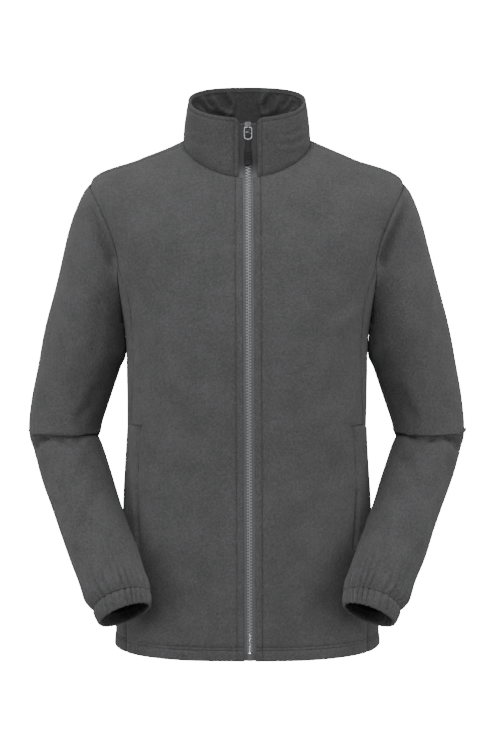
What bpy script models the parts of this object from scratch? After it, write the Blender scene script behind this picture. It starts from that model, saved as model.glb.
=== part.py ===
"""Fleece zip jacket, a man's medium, filled out as worn and open at neck, hem and cuffs.

Metres, +Z up.  The front faces -Y and the wearer's left arm is at +X.  The origin lies
midway between the two points where the shoulder seams meet the neck seam.  Each cut piece
is one closed wall of fleece, kept apart from its neighbours by the seam gap.
"""
import math

import bmesh
import bpy
import numpy as np

# Cloth and seams
FLEECE = 0.0022             # single layer
HEM_FOLD = 0.0036           # turned-up hem, two pressed layers
COLLAR_CLOTH = 0.0046       # doubled fleece
CASING = 0.0032             # cuff casing round its elastic
SEAM_GAP = 0.0003
BODY_DEPTH_CENTRE = 0.004   # y of the plane through the side points

# Loops round the body, from the neck seam down to the hem: half width at the side, depth of
# the front and of the back, heights at side, centre front and centre back, and how square
# the loop is (2 is an ellipse).
LOOP_COLUMNS = ("half_width", "front", "back", "side_z", "front_z", "back_z", "fullness")
BODY_LOOPS = (
    (0.0896, 0.0880, 0.0720, 0.0000, -0.0495, 0.0120, 2.00),    # 0 neck seam
    (0.1500, 0.1060, 0.0900, -0.0235, -0.0960, -0.0500, 2.05),  # 1 yoke
    (0.2206, 0.1200, 0.1010, -0.0570, -0.1500, -0.1010, 2.15),  # 2 shoulder points
    (0.1970, 0.1290, 0.1080, -0.1500, -0.2050, -0.1650, 2.30),  # 3 across the chest
    (0.1720, 0.1340, 0.1100, -0.2500, -0.2620, -0.2520, 2.50),  # 4 under the arm
    (0.1680, 0.1320, 0.1050, -0.3300, -0.3320, -0.3300, 2.60),  # 5 ribs
    (0.1680, 0.1290, 0.1010, -0.4300, -0.4320, -0.4300, 2.60),  # 6 waist
    (0.1765, 0.1300, 0.1070, -0.5600, -0.5640, -0.5620, 2.60),  # 7 hip
    (0.1862, 0.1340, 0.1120, -0.6980, -0.7055, -0.7050, 2.80),  # 8 hem
)
HEM_LEVEL = 8
CHEST_LEVEL = 3
SHOULDER_LEVEL = 2
COLLAR_LOOPS = (
    (0.0896, 0.0880, 0.0720, 0.0007, -0.0488, 0.0127, 2.00),    # 0 neck seam
    (0.0862, 0.0790, 0.0730, 0.0310, -0.0090, 0.0465, 2.15),    # 1 middle
    (0.0820, 0.0700, 0.0715, 0.0610, 0.0325, 0.0825, 2.35),     # 2 rim
)
RIM_LEVEL = 2
RIM_CORNER = 0.0090         # round corner of the collar beside the zip
RIM_CORNER_DROP = 0.0060

# Seams on the body
SHOULDER_ANGLE = -4.0       # shoulder seam, just in front of the ridge
ARMHOLE_REACH = 25.0        # degrees that the armhole bows to front and back
ARMHOLE_SWELL = 0.5         # and how much more it does so near the shoulder
SIDE_SEAM = (               # level on the body, distance of the side seams from the middle
    (3.5, 0.1640), (4.0, 0.1590), (5.0, 0.1580), (5.5, 0.1605),
    (6.0, 0.1640), (6.5, 0.1675), (7.0, 0.1685), (8.0, 0.1672))

# Zip
ZIP_OPENING = 0.0148        # between the fleece edges of the fronts
COLLAR_OPENING = 0.0252     # between the front edges of the collar
ZIP_AT_NECK = 0.0015        # the zip runs slightly aslant
ZIP_AT_HEM = 0.0042
CHAIN_INNER = 0.00015
CHAIN_OUTER = 0.00235
CHAIN_THICK = 0.0026
TAPE_INNER = 0.00265
TAPE_OUTER = 0.0121
TAPE_THICK = 0.0008
TAPE_DEPTH = FLEECE + 0.0009  # behind the fronts' edges
CHAIN_DEPTH = 0.0016        # front of the chain behind the fleece's face

# Sleeve rings from the armhole down to the cuff seam: the outer and the inner end in the
# front view, the depth of the centre and half the depth of the ring, and how far the elbow's
# fold pulls the front in.
RING_COLUMNS = ("outer_x", "outer_z", "inner_x", "inner_z", "centre_y", "half_depth", "fold")
SLEEVE_RINGS = (
    (0.2206, -0.0570, 0.1720, -0.2500, -0.0060, 0.0560, 0.0),    # 0 armhole
    (0.2288, -0.0700, 0.1730, -0.2620, -0.0020, 0.0585, 0.0),    # 1 cap
    (0.2440, -0.1080, 0.1722, -0.2740, 0.0020, 0.0620, 0.0),     # 2
    (0.2600, -0.1670, 0.1710, -0.2860, 0.0050, 0.0650, 0.0),     # 3
    (0.2740, -0.2200, 0.1701, -0.2985, 0.0075, 0.0655, 0.0),     # 4 upper arm
    (0.2855, -0.2680, 0.1768, -0.3125, 0.0095, 0.0645, 0.0),     # 5
    (0.2940, -0.3130, 0.1848, -0.3350, 0.0110, 0.0625, 0.0),     # 6
    (0.3010, -0.3500, 0.1936, -0.3620, 0.0120, 0.0600, 0.0),     # 7
    (0.3054, -0.3820, 0.2022, -0.3880, 0.0120, 0.0590, 0.0),     # 8 above the elbow
    (0.3064, -0.4000, 0.2056, -0.4030, 0.0120, 0.0585, 0.0),     # 9 lip of the fold
    (0.3056, -0.4115, 0.2090, -0.4085, 0.0095, 0.0560, 0.0150),  # 10 fold
    (0.3030, -0.4215, 0.2050, -0.4160, 0.0050, 0.0565, 0.0040),  # 11 below the fold
    (0.2965, -0.4380, 0.1992, -0.4300, -0.0020, 0.0560, 0.0),    # 12
    (0.2858, -0.4670, 0.1895, -0.4570, -0.0180, 0.0530, 0.0),    # 13 forearm
    (0.2700, -0.5070, 0.1770, -0.4920, -0.0400, 0.0490, 0.0),    # 14
    (0.2550, -0.5430, 0.1640, -0.5240, -0.0640, 0.0450, 0.0),    # 15
    (0.2400, -0.5790, 0.1500, -0.5560, -0.0900, 0.0400, 0.0),    # 16
    (0.2270, -0.6050, 0.1395, -0.5840, -0.1120, 0.0360, 0.0),    # 17
    (0.2165, -0.6270, 0.1325, -0.6010, -0.1270, 0.0330, 0.0),    # 18 blouses over the cuff
    (0.2064, -0.6345, 0.1313, -0.6090, -0.1350, 0.0282, 0.0),    # 19 cuff seam
)
CUFF_RINGS = (
    (0.2040, -0.6400, 0.1306, -0.6140, -0.1390, 0.0275, 0.0),    # middle of the casing
    (0.1985, -0.6525, 0.1300, -0.6250, -0.1480, 0.0222, 0.0),    # mouth
)
CAP_RINGS = 4               # rings over which the armhole's curve turns into an oval
ARMHOLE_STAND_OFF = 0.0004  # sleeve head from the body's edge
BODY_CLEARANCE = 0.0012     # sleeve from the body where it lies against it
GATHERS = 16
GATHER_HEIGHT = 0.0016

# Pocket bags, behind the fronts beside the side seams
BAG_LEVELS = (5.5, 7.5)
BAG_COLUMNS = 8
BAG_CLOTH = 0.0010

# Slider and pull, in their own axes: across, down the zip, out from the fleece's face
SLIDER_Z = 0.0200
SLIDER_HALF_LENGTH = 0.0064
SLIDER_TOP = 0.0104         # width
SLIDER_FOOT = 0.0082
SLIDER_PLATE = 0.0012
PLATE_GAP = 0.0003          # from the chain to each plate
SLIDER_NECK = 0.0020        # width of the post between the plates
SLIDER_NECK_LENGTH = 0.0028
BRIDGE_WIDTH = 0.0022
BRIDGE_HALF_LENGTH = 0.0045
BRIDGE_BAR = 0.0010
BRIDGE_UNDER = 0.0024       # underside of the bridge's bar above the fleece's face
PIN_OUT = 0.0011
PIN_DOWN = 0.0024
LOOP_BAR = 0.00075          # radius
LOOP_HALF_WIDTH = 0.0051    # to the bar's middle
LOOP_LENGTH = 0.0166
LOOP_TOP_ROUND = 0.0018
LOOP_FOOT_ROUND = 0.0046
LOOP_SIDES = 8
PULLER_THICK = 0.0034
PULLER_OUTLINE = (          # half width and distance below the pin
    (0.0030, 0.0076), (0.0032, 0.0150), (0.0035, 0.0195), (0.0035, 0.0296),
    (0.0051, 0.0322), (0.0053, 0.0480), (0.0044, 0.0524), (0.0025, 0.0536))
BOX_HALF_WIDTH = 0.0034
BOX_CORE = 0.0023           # half width, between the tapes
BOX_HEIGHT = 0.0100
BOX_FRONT = 0.0007          # behind the fleece's face
BOX_FACE = 0.0014
BOX_THICK = 0.0040
ZIP_FOOT = 0.0008           # above the hem's edge

# Mesh density
PANEL_COLUMNS = 10
ARMHOLE_STEPS = 32
CUFF_COLUMNS = 64
BODY_LEVELS = (8.0, 7.85, 7.5, 7.0, 6.5, 6.0, 5.5, 5.0, 4.5, 4.0, 3.75, 3.5, 3.25, 3.0)

COLOURS = {                 # base colour, roughness, metallic
    "fleece": ((0.075, 0.076, 0.078), 0.95, 0.0),
    "tape": ((0.060, 0.061, 0.063), 0.85, 0.0),
    "teeth": ((0.30, 0.31, 0.32), 0.45, 0.0),
    "slider_metal": ((0.35, 0.35, 0.36), 0.30, 1.0),
    "puller_plastic": ((0.012, 0.012, 0.013), 0.45, 0.0),
    "bag_cloth": ((0.060, 0.061, 0.063), 0.90, 0.0),
}


def smooth(at, knots, values):
    """Cubic through the knots, with slopes that are the mean of the chords on either side."""
    knots = np.asarray(knots, float)
    values = np.asarray(values, float)
    chords = np.diff(values) / np.diff(knots)
    slopes = np.concatenate(([chords[0]], (chords[:-1] + chords[1:]) / 2, [chords[-1]]))
    at = np.clip(at, knots[0], knots[-1])
    low = np.clip(np.searchsorted(knots, at, side="right") - 1, 0, len(knots) - 2)
    step = knots[low + 1] - knots[low]
    t = (at - knots[low]) / step
    start = (1 + 2 * t) * (1 - t) ** 2 * values[low] + t * (1 - t) ** 2 * step * slopes[low]
    end = t * t * (3 - 2 * t) * values[low + 1] - t * t * (1 - t) * step * slopes[low + 1]
    return start + end


def unit(vectors):
    """Vectors of length one."""
    return vectors / np.maximum(np.linalg.norm(vectors, axis=-1, keepdims=True), 1e-12)


def loop_value(loops, level, name):
    """One column of a table of loops at a level between its rows."""
    column = [row[LOOP_COLUMNS.index(name)] for row in loops]
    return smooth(level, range(len(loops)), column)


def form(loops, angle, level):
    """Points of a lofted form: -90 degrees is centre front, 0 the side, 90 centre back."""
    angle, level = np.broadcast_arrays(np.radians(angle), np.asarray(level, float))
    half_width, front, back, side_z, front_z, back_z, fullness = (
        loop_value(loops, level, name) for name in LOOP_COLUMNS)
    across = np.sign(np.cos(angle)) * np.abs(np.cos(angle)) ** (2 / fullness)
    along = np.sign(np.sin(angle)) * np.abs(np.sin(angle)) ** (2 / fullness)
    tilt = (back_z - front_z) / 2
    dish = (back_z + front_z) / 2 - side_z
    x = half_width * across
    y = BODY_DEPTH_CENTRE + np.where(along < 0, front, back) * along
    z = side_z + tilt * along + dish * along ** 2
    return np.stack([x, y, z], axis=-1)


def form_normal(loops, angle, level):
    """Outward normals of a lofted form."""
    turn = 0.4
    rise = 0.02
    angle, level = np.broadcast_arrays(np.asarray(angle, float), np.asarray(level, float))
    top = len(loops) - 1
    round_it = form(loops, angle + turn, level) - form(loops, angle - turn, level)
    down_it = (form(loops, angle, np.clip(level + rise, 0, top))
               - form(loops, angle, np.clip(level - rise, 0, top)))
    if loops[0][3] < loops[-1][3]:
        down_it = -down_it
    return unit(np.cross(down_it, round_it))


def angle_at(loops, level, x, side):
    """Angle at which a loop is x from the middle, in front (side -1) or behind (side 1)."""
    half_width = loop_value(loops, level, "half_width")
    fullness = loop_value(loops, level, "fullness")
    return side * np.degrees(np.arccos((x / half_width) ** (fullness / 2)))


def zip_middle(z):
    """Where the zip's centre line lies across the front, at a height."""
    neck, hem = BODY_LOOPS[0][4], BODY_LOOPS[-1][4]
    return ZIP_AT_NECK + (ZIP_AT_HEM - ZIP_AT_NECK) * np.clip((neck - z) / (neck - hem), 0, 1)


def armhole(turn):
    """Angle and level of the armhole seam: turn 0 is the shoulder point, 90 in front."""
    turn = np.radians(turn)
    reach = ARMHOLE_REACH * np.abs(np.sin(turn)) ** 0.8 * (1 + ARMHOLE_SWELL * np.cos(turn))
    angle = SHOULDER_ANGLE * (1 + np.cos(turn)) / 2 - np.sign(np.sin(turn)) * reach
    return angle, SHOULDER_LEVEL + 1 - np.cos(turn)


def side_seam_angle(level, side):
    """Angle of the front (side -1) or back (side 1) edge of the side panels."""
    at_armhole = form(BODY_LOOPS, armhole(180 + 90 * side)[0], CHEST_LEVEL)[0]
    levels = [CHEST_LEVEL] + [row[0] for row in SIDE_SEAM]
    distances = [at_armhole] + [row[1] for row in SIDE_SEAM]
    half_width = loop_value(BODY_LOOPS, level, "half_width")
    distance = np.minimum(smooth(level, levels, distances), half_width * 0.999)
    return angle_at(BODY_LOOPS, level, distance, side)


def coons(bottom, top, left, right):
    """Fill four edges given as (angle, level) rows; left and right run from bottom to top."""
    s = np.linspace(0, 1, len(bottom))[None, :, None]
    t = np.linspace(0, 1, len(left))[:, None, None]
    across = (1 - t) * bottom[None] + t * top[None]
    upward = (1 - s) * left[:, None] + s * right[:, None]
    corners = ((1 - s) * (1 - t) * bottom[0] + s * (1 - t) * bottom[-1]
               + (1 - s) * t * top[0] + s * t * top[-1])
    return across + upward - corners


def half_panel(side, centre_x):
    """Grid of (angle, level) of half a front (side -1) or back (side 1), hem row first."""
    rows = []
    for level in BODY_LEVELS:
        centre = angle_at(BODY_LOOPS, level, centre_x(level), side)
        outer = side_seam_angle(level, side)
        rows.append(np.stack([np.linspace(centre, outer, PANEL_COLUMNS + 1),
                              np.full(PANEL_COLUMNS + 1, level)], axis=-1))
    quarter = ARMHOLE_STEPS // 4
    turns = np.linspace(90, 0, quarter + 1) if side < 0 else np.linspace(270, 360, quarter + 1)
    right = np.stack(armhole(turns), axis=-1)
    levels = np.linspace(CHEST_LEVEL, 0, quarter + 1)
    left = np.stack([angle_at(BODY_LOOPS, levels, centre_x(levels), side), levels], axis=-1)
    at_neck = PANEL_COLUMNS // 2
    neck = np.stack([np.linspace(left[-1, 0], SHOULDER_ANGLE, at_neck + 1),
                     np.zeros(at_neck + 1)], axis=-1)
    shoulder = np.stack([np.full(at_neck, SHOULDER_ANGLE),
                         np.linspace(0, SHOULDER_LEVEL, at_neck + 1)[1:]], axis=-1)
    upper = coons(rows[-1], np.concatenate([neck, shoulder]), left, right)
    return np.concatenate([np.array(rows), upper[1:]])


def side_grid():
    """Grid of (angle, level) of a side panel, hem row first, from its front to its back edge."""
    half = ARMHOLE_STEPS // 2
    turns = np.linspace(90, 270, half + 1)
    top = np.stack(armhole(turns), axis=-1)
    s = np.linspace(0, 1, half + 1)
    rows = []
    for level in BODY_LEVELS:
        up = (HEM_LEVEL - level) / (HEM_LEVEL - CHEST_LEVEL)
        levels = HEM_LEVEL + (top[:, 1] - HEM_LEVEL) * up
        front = side_seam_angle(level, -1)
        back = side_seam_angle(level, 1)
        bow = top[:, 0] - (top[0, 0] * (1 - s) + top[-1, 0] * s)
        rows.append(np.stack([front * (1 - s) + back * s + bow * up ** 3, levels], axis=-1))
    return np.array(rows)


def drawn_in(points, edges):
    """Points of a grid with the named edges moved in by half the seam gap."""
    moved = points.copy()
    by = SEAM_GAP * 0.6
    if "bottom" in edges:
        moved[0] += by * unit(points[1] - points[0])
    if "top" in edges:
        moved[-1] += by * unit(points[-2] - points[-1])
    if "left" in edges:
        moved[:, 0] += by * unit(points[:, 1] - points[:, 0])
    if "right" in edges:
        moved[:, -1] += by * unit(points[:, -2] - points[:, -1])
    return moved


def material(name):
    """The named finish, made once."""
    found = bpy.data.materials.get(name)
    if found:
        return found
    colour, roughness, metallic = COLOURS[name]
    made = bpy.data.materials.new(name)
    made.use_nodes = True
    shader = made.node_tree.nodes["Principled BSDF"]
    shader.inputs["Base Color"].default_value = (*colour, 1)
    shader.inputs["Roughness"].default_value = roughness
    shader.inputs["Metallic"].default_value = metallic
    return made


def new_object(name, mesh_data, finish):
    """An object in the scene with its finish, shaded smooth but for real edges."""
    mesh = bpy.data.meshes.new(name)
    mesh_data.to_mesh(mesh)
    mesh_data.free()
    mesh.materials.append(material(finish))
    mesh.shade_smooth()
    mesh.set_sharp_from_angle(angle=math.radians(40))
    thing = bpy.data.objects.new(name, mesh)
    bpy.context.scene.collection.objects.link(thing)
    return thing


def wall(name, outer, inner, finish, hand=1, closed=False):
    """A closed wall between two grids of points; closed joins the last column to the first."""
    rows, columns = outer.shape[:2]
    made = bmesh.new()
    corners = [[[made.verts.new((p[0] * hand, p[1], p[2])) for p in row] for row in grid]
               for grid in (outer, inner)]
    steps = columns if closed else columns - 1
    for face in corners:
        for r in range(rows - 1):
            for c in range(steps):
                d = (c + 1) % columns
                made.faces.new((face[r][c], face[r][d], face[r + 1][d], face[r + 1][c]))
    out, back = corners
    for r in (0, rows - 1):
        for c in range(steps):
            d = (c + 1) % columns
            made.faces.new((out[r][c], out[r][d], back[r][d], back[r][c]))
    if not closed:
        for c in (0, columns - 1):
            for r in range(rows - 1):
                made.faces.new((out[r][c], out[r + 1][c], back[r + 1][c], back[r][c]))
    bmesh.ops.recalc_face_normals(made, faces=made.faces)
    if made.calc_volume(signed=True) < 0:
        bmesh.ops.reverse_faces(made, faces=made.faces)
    return new_object(name, made, finish)


def body_wall(name, grid, edges, hand=1, finish="fleece"):
    """A body panel from its grid of (angle, level), with the hem's fold in its lowest rows."""
    angle, level = grid[..., 0], grid[..., 1]
    outer = drawn_in(form(BODY_LOOPS, angle, level), edges)
    thick = np.where(level > BODY_LEVELS[1] - 1e-6, HEM_FOLD, FLEECE)[..., None]
    inner = outer - form_normal(BODY_LOOPS, angle, level) * thick
    return wall(name, outer, inner, finish, hand)


def front_grid(hand):
    """Grid of (angle, level) of a front panel, from the zip to the side."""
    def edge(level):
        middle = zip_middle(loop_value(BODY_LOOPS, level, "front_z"))
        return ZIP_OPENING / 2 + hand * middle
    return half_panel(-1, edge)


def make_fronts():
    """Both front panels."""
    for hand, name in ((1, "front_left"), (-1, "front_right")):
        body_wall(name, front_grid(hand), ("top", "right"), hand)


def make_pocket_bags():
    """A flat bag behind each front panel, closed to it along the pocket's stitching."""
    rows = [k for k, level in enumerate(BODY_LEVELS) if BAG_LEVELS[0] <= level <= BAG_LEVELS[1]]
    for hand, name in ((1, "pocket_bag_left"), (-1, "pocket_bag_right")):
        grid = front_grid(hand)[rows[0]:rows[-1] + 1, -BAG_COLUMNS:]
        angle, level = grid[..., 0], grid[..., 1]
        normal = form_normal(BODY_LOOPS, angle, level)
        skin = drawn_in(form(BODY_LOOPS, angle, level), ("right",))
        near = skin - normal * (FLEECE + SEAM_GAP)
        far = skin - normal * (FLEECE + SEAM_GAP + BAG_CLOTH)
        wall(name, near, far, "bag_cloth", hand)


def make_back():
    """The back panel, both halves in one."""
    half = half_panel(1, lambda level: np.zeros_like(np.asarray(level, float)))
    angle, level = half[..., 0], half[..., 1]
    outer = drawn_in(form(BODY_LOOPS, angle, level), ("top", "right"))
    normal = form_normal(BODY_LOOPS, angle, level)
    normal[:, 0, 0] = 0
    thick = np.where(level > BODY_LEVELS[1] - 1e-6, HEM_FOLD, FLEECE)[..., None]
    inner = outer - unit(normal) * thick
    mirror = np.array([-1, 1, 1])
    whole = [np.concatenate([side[:, :0:-1] * mirror, side], axis=1) for side in (outer, inner)]
    wall("back", *whole, "fleece")


def make_sides():
    """The panels under the arms."""
    grid = side_grid()
    for hand, name in ((1, "side_left"), (-1, "side_right")):
        body_wall(name, grid, ("left", "right"), hand)


def clear_of_body(points):
    """Points pushed out to the body's clearance where they would lie inside the body."""
    heights = [row[3] for row in BODY_LOOPS]
    level = np.interp(-points[..., 2], [-z for z in heights], range(len(BODY_LOOPS)))
    half_width = loop_value(BODY_LOOPS, level, "half_width") + BODY_CLEARANCE
    fullness = loop_value(BODY_LOOPS, level, "fullness")
    depth = points[..., 1] - BODY_DEPTH_CENTRE
    reach = np.where(depth < 0, loop_value(BODY_LOOPS, level, "front"),
                     loop_value(BODY_LOOPS, level, "back")) + BODY_CLEARANCE
    inside = (np.abs(points[..., 0] / half_width) ** fullness
              + np.abs(depth / reach) ** fullness)
    below_arm = points[..., 2] < SLEEVE_RINGS[0][3] - 0.002
    grow = np.where((inside < 1) & below_arm, np.maximum(inside, 0.2) ** (-1 / fullness), 1.0)
    moved = points.copy()
    moved[..., 0] *= grow
    moved[..., 1] = BODY_DEPTH_CENTRE + depth * grow
    return moved


def ring_value(rings, at, name):
    """One column of the sleeve's rings at a place between them."""
    column = [row[RING_COLUMNS.index(name)] for row in rings]
    return smooth(at, range(len(rings)), column)


def ring_frame(rings, at):
    """Centre of a ring, its unit directions outward, forward and along, and its half width."""
    def centre(place):
        ends = [ring_value(rings, place, name) for name in ("outer_x", "inner_x", "outer_z", "inner_z")]
        y = ring_value(rings, place, "centre_y")
        return np.array([(ends[0] + ends[1]) / 2, y, (ends[2] + ends[3]) / 2])
    last = len(rings) - 1
    along = unit(centre(min(at + 0.5, last)) - centre(max(at - 0.5, 0)))
    across = np.array([ring_value(rings, at, "outer_x") - ring_value(rings, at, "inner_x"), 0.0,
                       ring_value(rings, at, "outer_z") - ring_value(rings, at, "inner_z")])
    half_width = np.linalg.norm(across) / 2
    across = unit(across)
    forward = unit(np.cross(along, across))
    return centre(at), across, forward, np.cross(across, forward), half_width


def sleeve_head(turn):
    """The armhole seam as seen in the frame of the sleeve's first ring, in shares of its size."""
    centre, across, forward, along, half_width = ring_frame(SLEEVE_RINGS, 0)
    off = form(BODY_LOOPS, *armhole(turn)) - centre
    half_depth = SLEEVE_RINGS[0][5]
    return (off @ across / half_width, off @ forward / half_depth, off @ along)


def gather(turn, share):
    """Height of the cuff's gathers round a ring."""
    return GATHER_HEIGHT * share * np.cos(np.radians(turn) * GATHERS)


def sleeve_ring(rings, at, turn, gathered=0.0):
    """Points of one ring of the sleeve; turn 0 is its outer end, 90 its front."""
    centre, across, forward, along, half_width = ring_frame(rings, at)
    half_depth = ring_value(rings, at, "half_depth")
    oval = np.clip(at / CAP_RINGS, 0, 1)
    oval = oval * oval * (3 - 2 * oval)
    head = sleeve_head(turn)
    cosine, sine = np.cos(np.radians(turn)), np.sin(np.radians(turn))
    a = half_width * ((1 - oval) * head[0] + oval * cosine)
    b = half_depth * ((1 - oval) * head[1] + oval * sine)
    c = (1 - oval) * head[2]
    swell = 1 + gather(turn, gathered) / half_depth
    a = a * swell
    b = b * swell - ring_value(rings, at, "fold") * np.maximum(sine, 0) ** 0.6
    points = centre + a[:, None] * across + b[:, None] * forward + c[:, None] * along
    return points


def grid_normals(points):
    """Normals of a ring-shaped grid, row to row and round each row, pointing out of it."""
    round_it = np.roll(points, -1, axis=1) - np.roll(points, 1, axis=1)
    down_it = np.gradient(points, axis=0)
    normal = unit(np.cross(round_it, down_it))
    away = points - points.mean(axis=1, keepdims=True)
    return normal * np.sign((normal * away).sum(axis=(1, 2), keepdims=True))


def sleeve_inside(points, turn):
    """Inner face of the sleeve, kept off the body's edge at the head and square at the cuff."""
    inward = -grid_normals(points)
    angle, level = armhole(turn)
    body_out = form_normal(BODY_LOOPS, angle, level)
    seam_run = unit(np.roll(points[0], -1, axis=0) - np.roll(points[0], 1, axis=0))
    off_body = unit(np.cross(body_out, seam_run))
    off_body *= np.sign(off_body @ np.array([1, 0, 0]))[:, None]
    share = (inward[0] * off_body).sum(-1, keepdims=True)
    facing = (inward[0] * body_out).sum(-1, keepdims=True)
    inward[0] = unit(np.where((share < 0) & (facing < 0), inward[0] - share * off_body, inward[0]))
    inward[-1] = square_inward(points[-1], SLEEVE_RINGS, len(SLEEVE_RINGS) - 1)
    return points + inward * FLEECE


def square_inward(points, rings, at):
    """Directions to a ring's centre, within its own plane."""
    centre, across, forward, along, half_width = ring_frame(rings, at)
    inward = unit(centre - points)
    return unit(inward - (inward @ along)[:, None] * along)


def make_sleeves():
    """Both sleeves, with the fold at the elbow and gathers above the cuff."""
    turn = np.arange(ARMHOLE_STEPS) * 360 / ARMHOLE_STEPS
    gathered = {len(SLEEVE_RINGS) - 2: 0.5, len(SLEEVE_RINGS) - 1: 1.0}
    outer = np.array([sleeve_ring(SLEEVE_RINGS, k, turn, gathered.get(k, 0.0))
                      for k in range(len(SLEEVE_RINGS))])
    outer[0] += ARMHOLE_STAND_OFF * unit(np.array([0.97, 0, -0.24]))
    outer[1:] = clear_of_body(outer[1:])
    inner = sleeve_inside(outer, turn)
    for hand, name in ((1, "sleeve_left"), (-1, "sleeve_right")):
        wall(name, outer, inner, "fleece", hand, closed=True)


def make_cuffs():
    """Both elastic casings, gathered all round."""
    turn = np.arange(CUFF_COLUMNS) * 360 / CUFF_COLUMNS
    rings = SLEEVE_RINGS + CUFF_RINGS
    first = len(SLEEVE_RINGS) - 1
    outer, inner = [], []
    for k, swell in ((first, 1.0), (first + 1, 1.25), (first + 2, 0.8)):
        ring = sleeve_ring(SLEEVE_RINGS if k == first else rings, k, turn, swell)
        along = ring_frame(SLEEVE_RINGS if k == first else rings, k)[3]
        if k == first:
            ring = ring + unit(along) * SEAM_GAP * np.sign(-along[2])
            ring_in = ring + square_inward(ring, SLEEVE_RINGS, k) * CASING
        else:
            ring_in = ring + square_inward(ring, rings, k) * CASING
        outer.append(ring)
        inner.append(ring_in)
    for hand, name in ((1, "cuff_left"), (-1, "cuff_right")):
        wall(name, np.array(outer), np.array(inner), "fleece", hand, closed=True)


def collar_edge_angle(level, hand):
    """Angle of the collar's front edge on one side."""
    z = loop_value(COLLAR_LOOPS, level, "front_z")
    return angle_at(COLLAR_LOOPS, level, COLLAR_OPENING / 2 + hand * zip_middle(z), -1)


def make_collar():
    """The stand-up collar, from one side of the zip round the back to the other."""
    levels = np.linspace(0, RIM_LEVEL, 6)
    halves = []
    for hand in (1, -1):
        rows = []
        for level in levels:
            edge = collar_edge_angle(level, hand)
            front = np.linspace(edge, SHOULDER_ANGLE, PANEL_COLUMNS // 2 + 1)
            corner = edge + (front[1] - edge) * 0.25
            behind = np.linspace(SHOULDER_ANGLE, 90, PANEL_COLUMNS // 2 + 1)[1:]
            angle = np.concatenate([[edge, corner], front[1:], behind])
            outer = form(COLLAR_LOOPS, angle, level)
            off_edge = (outer[:, 0] - outer[0, 0]) / RIM_CORNER
            drop = RIM_CORNER_DROP * np.clip(1 - off_edge, 0, 1) ** 2 * (level / RIM_LEVEL) ** 3
            outer[:, 2] -= drop * (outer[:, 1] < 0)
            normal = form_normal(COLLAR_LOOPS, angle, level)
            normal[-1, 0] = 0
            inner = outer - unit(normal) * COLLAR_CLOTH
            rows.append((outer, inner))
        halves.append(np.array(rows).transpose(1, 0, 2, 3))
    mirror = np.array([-1, 1, 1])
    outer, inner = (np.concatenate([halves[0][k], halves[1][k][:, -2::-1] * mirror], axis=1)
                    for k in (0, 1))
    wall("collar", outer, inner, "fleece")


def front_level(loops, z):
    """Level at which a form's centre front reaches a height."""
    levels = np.linspace(0, len(loops) - 1, 200)
    heights = loop_value(loops, levels, "front_z")
    order = np.argsort(heights)
    return np.interp(z, heights[order], levels[order])


def front_line(top, foot):
    """Loops and levels down the centre front, between two heights."""
    collar = np.linspace(front_level(COLLAR_LOOPS, top), 0.2, 4)
    body = np.append(np.arange(0, 7.6, 0.5), front_level(BODY_LOOPS, foot))
    return [(COLLAR_LOOPS, level) for level in collar] + [(BODY_LOOPS, level) for level in body]


def strip(name, finish, heights, reach, depth, hand, under_hem=0.0):
    """A strip beside the zip's centre line, between two distances from it and two depths."""
    near, deep = [], []
    stations = front_line(*heights)
    for loops, level in stations:
        sunk = under_hem * (level == stations[-1][1])
        x = zip_middle(loop_value(loops, level, "front_z")) + hand * np.array(reach)
        angle = angle_at(loops, level, np.abs(x), -1)
        turned = np.stack([np.sign(x), np.ones(2), np.ones(2)], axis=-1)
        point = form(loops, angle, level) * turned
        normal = form_normal(loops, angle, level) * turned
        near.append(point - normal * (depth[0] + sunk))
        deep.append(point - normal * (depth[1] + sunk))
    wall(name, np.array(near), np.array(deep), finish)


def zip_axes(z):
    """Place on the zip's centre line at a height, and the directions down it and out of it."""
    loops = COLLAR_LOOPS if z > COLLAR_LOOPS[0][4] else BODY_LOOPS
    level = front_level(loops, z)
    out = unit(form_normal(loops, -90.0, level) * np.array([0, 1, 1]))
    place = form(loops, -90.0, level) + np.array([zip_middle(z), 0, 0])
    return place, np.cross([1, 0, 0], out), out


def prism(name, axes, outline, low, high, finish, seen_from_side=False):
    """An outline (across, down) carried outward, or (down, out) carried across the zip."""
    place, down, out = axes
    across = np.array([1.0, 0, 0])
    made = bmesh.new()
    ends = []
    for far in (low, high):
        points = [(far, u, v) if seen_from_side else (u, v, far) for u, v in outline]
        ends.append([made.verts.new(place + a * across + d * down + o * out)
                     for a, d, o in points])
        made.faces.new(ends[-1])
    for k in range(len(outline)):
        n = (k + 1) % len(outline)
        made.faces.new((ends[0][k], ends[0][n], ends[1][n], ends[1][k]))
    bmesh.ops.recalc_face_normals(made, faces=made.faces)
    if made.calc_volume(signed=True) < 0:
        bmesh.ops.reverse_faces(made, faces=made.faces)
    return new_object(name, made, finish)


def combine(thing, tools, operation):
    """Join other solids to a thing, or cut them out of it."""
    for tool in tools:
        tool.hide_render = True
        tool.display_type = "WIRE"
        step = thing.modifiers.new(tool.name, "BOOLEAN")
        step.operation = operation
        step.object = tool


def both_sides(half):
    """A closed outline from its half widths and distances, mirrored about the middle."""
    return [(w, d) for w, d in half] + [(-w, d) for w, d in reversed(half)]


def box_outline(half_width, top, foot):
    """A plain rectangle across the zip."""
    return both_sides([(half_width, top), (half_width, foot)])


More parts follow.
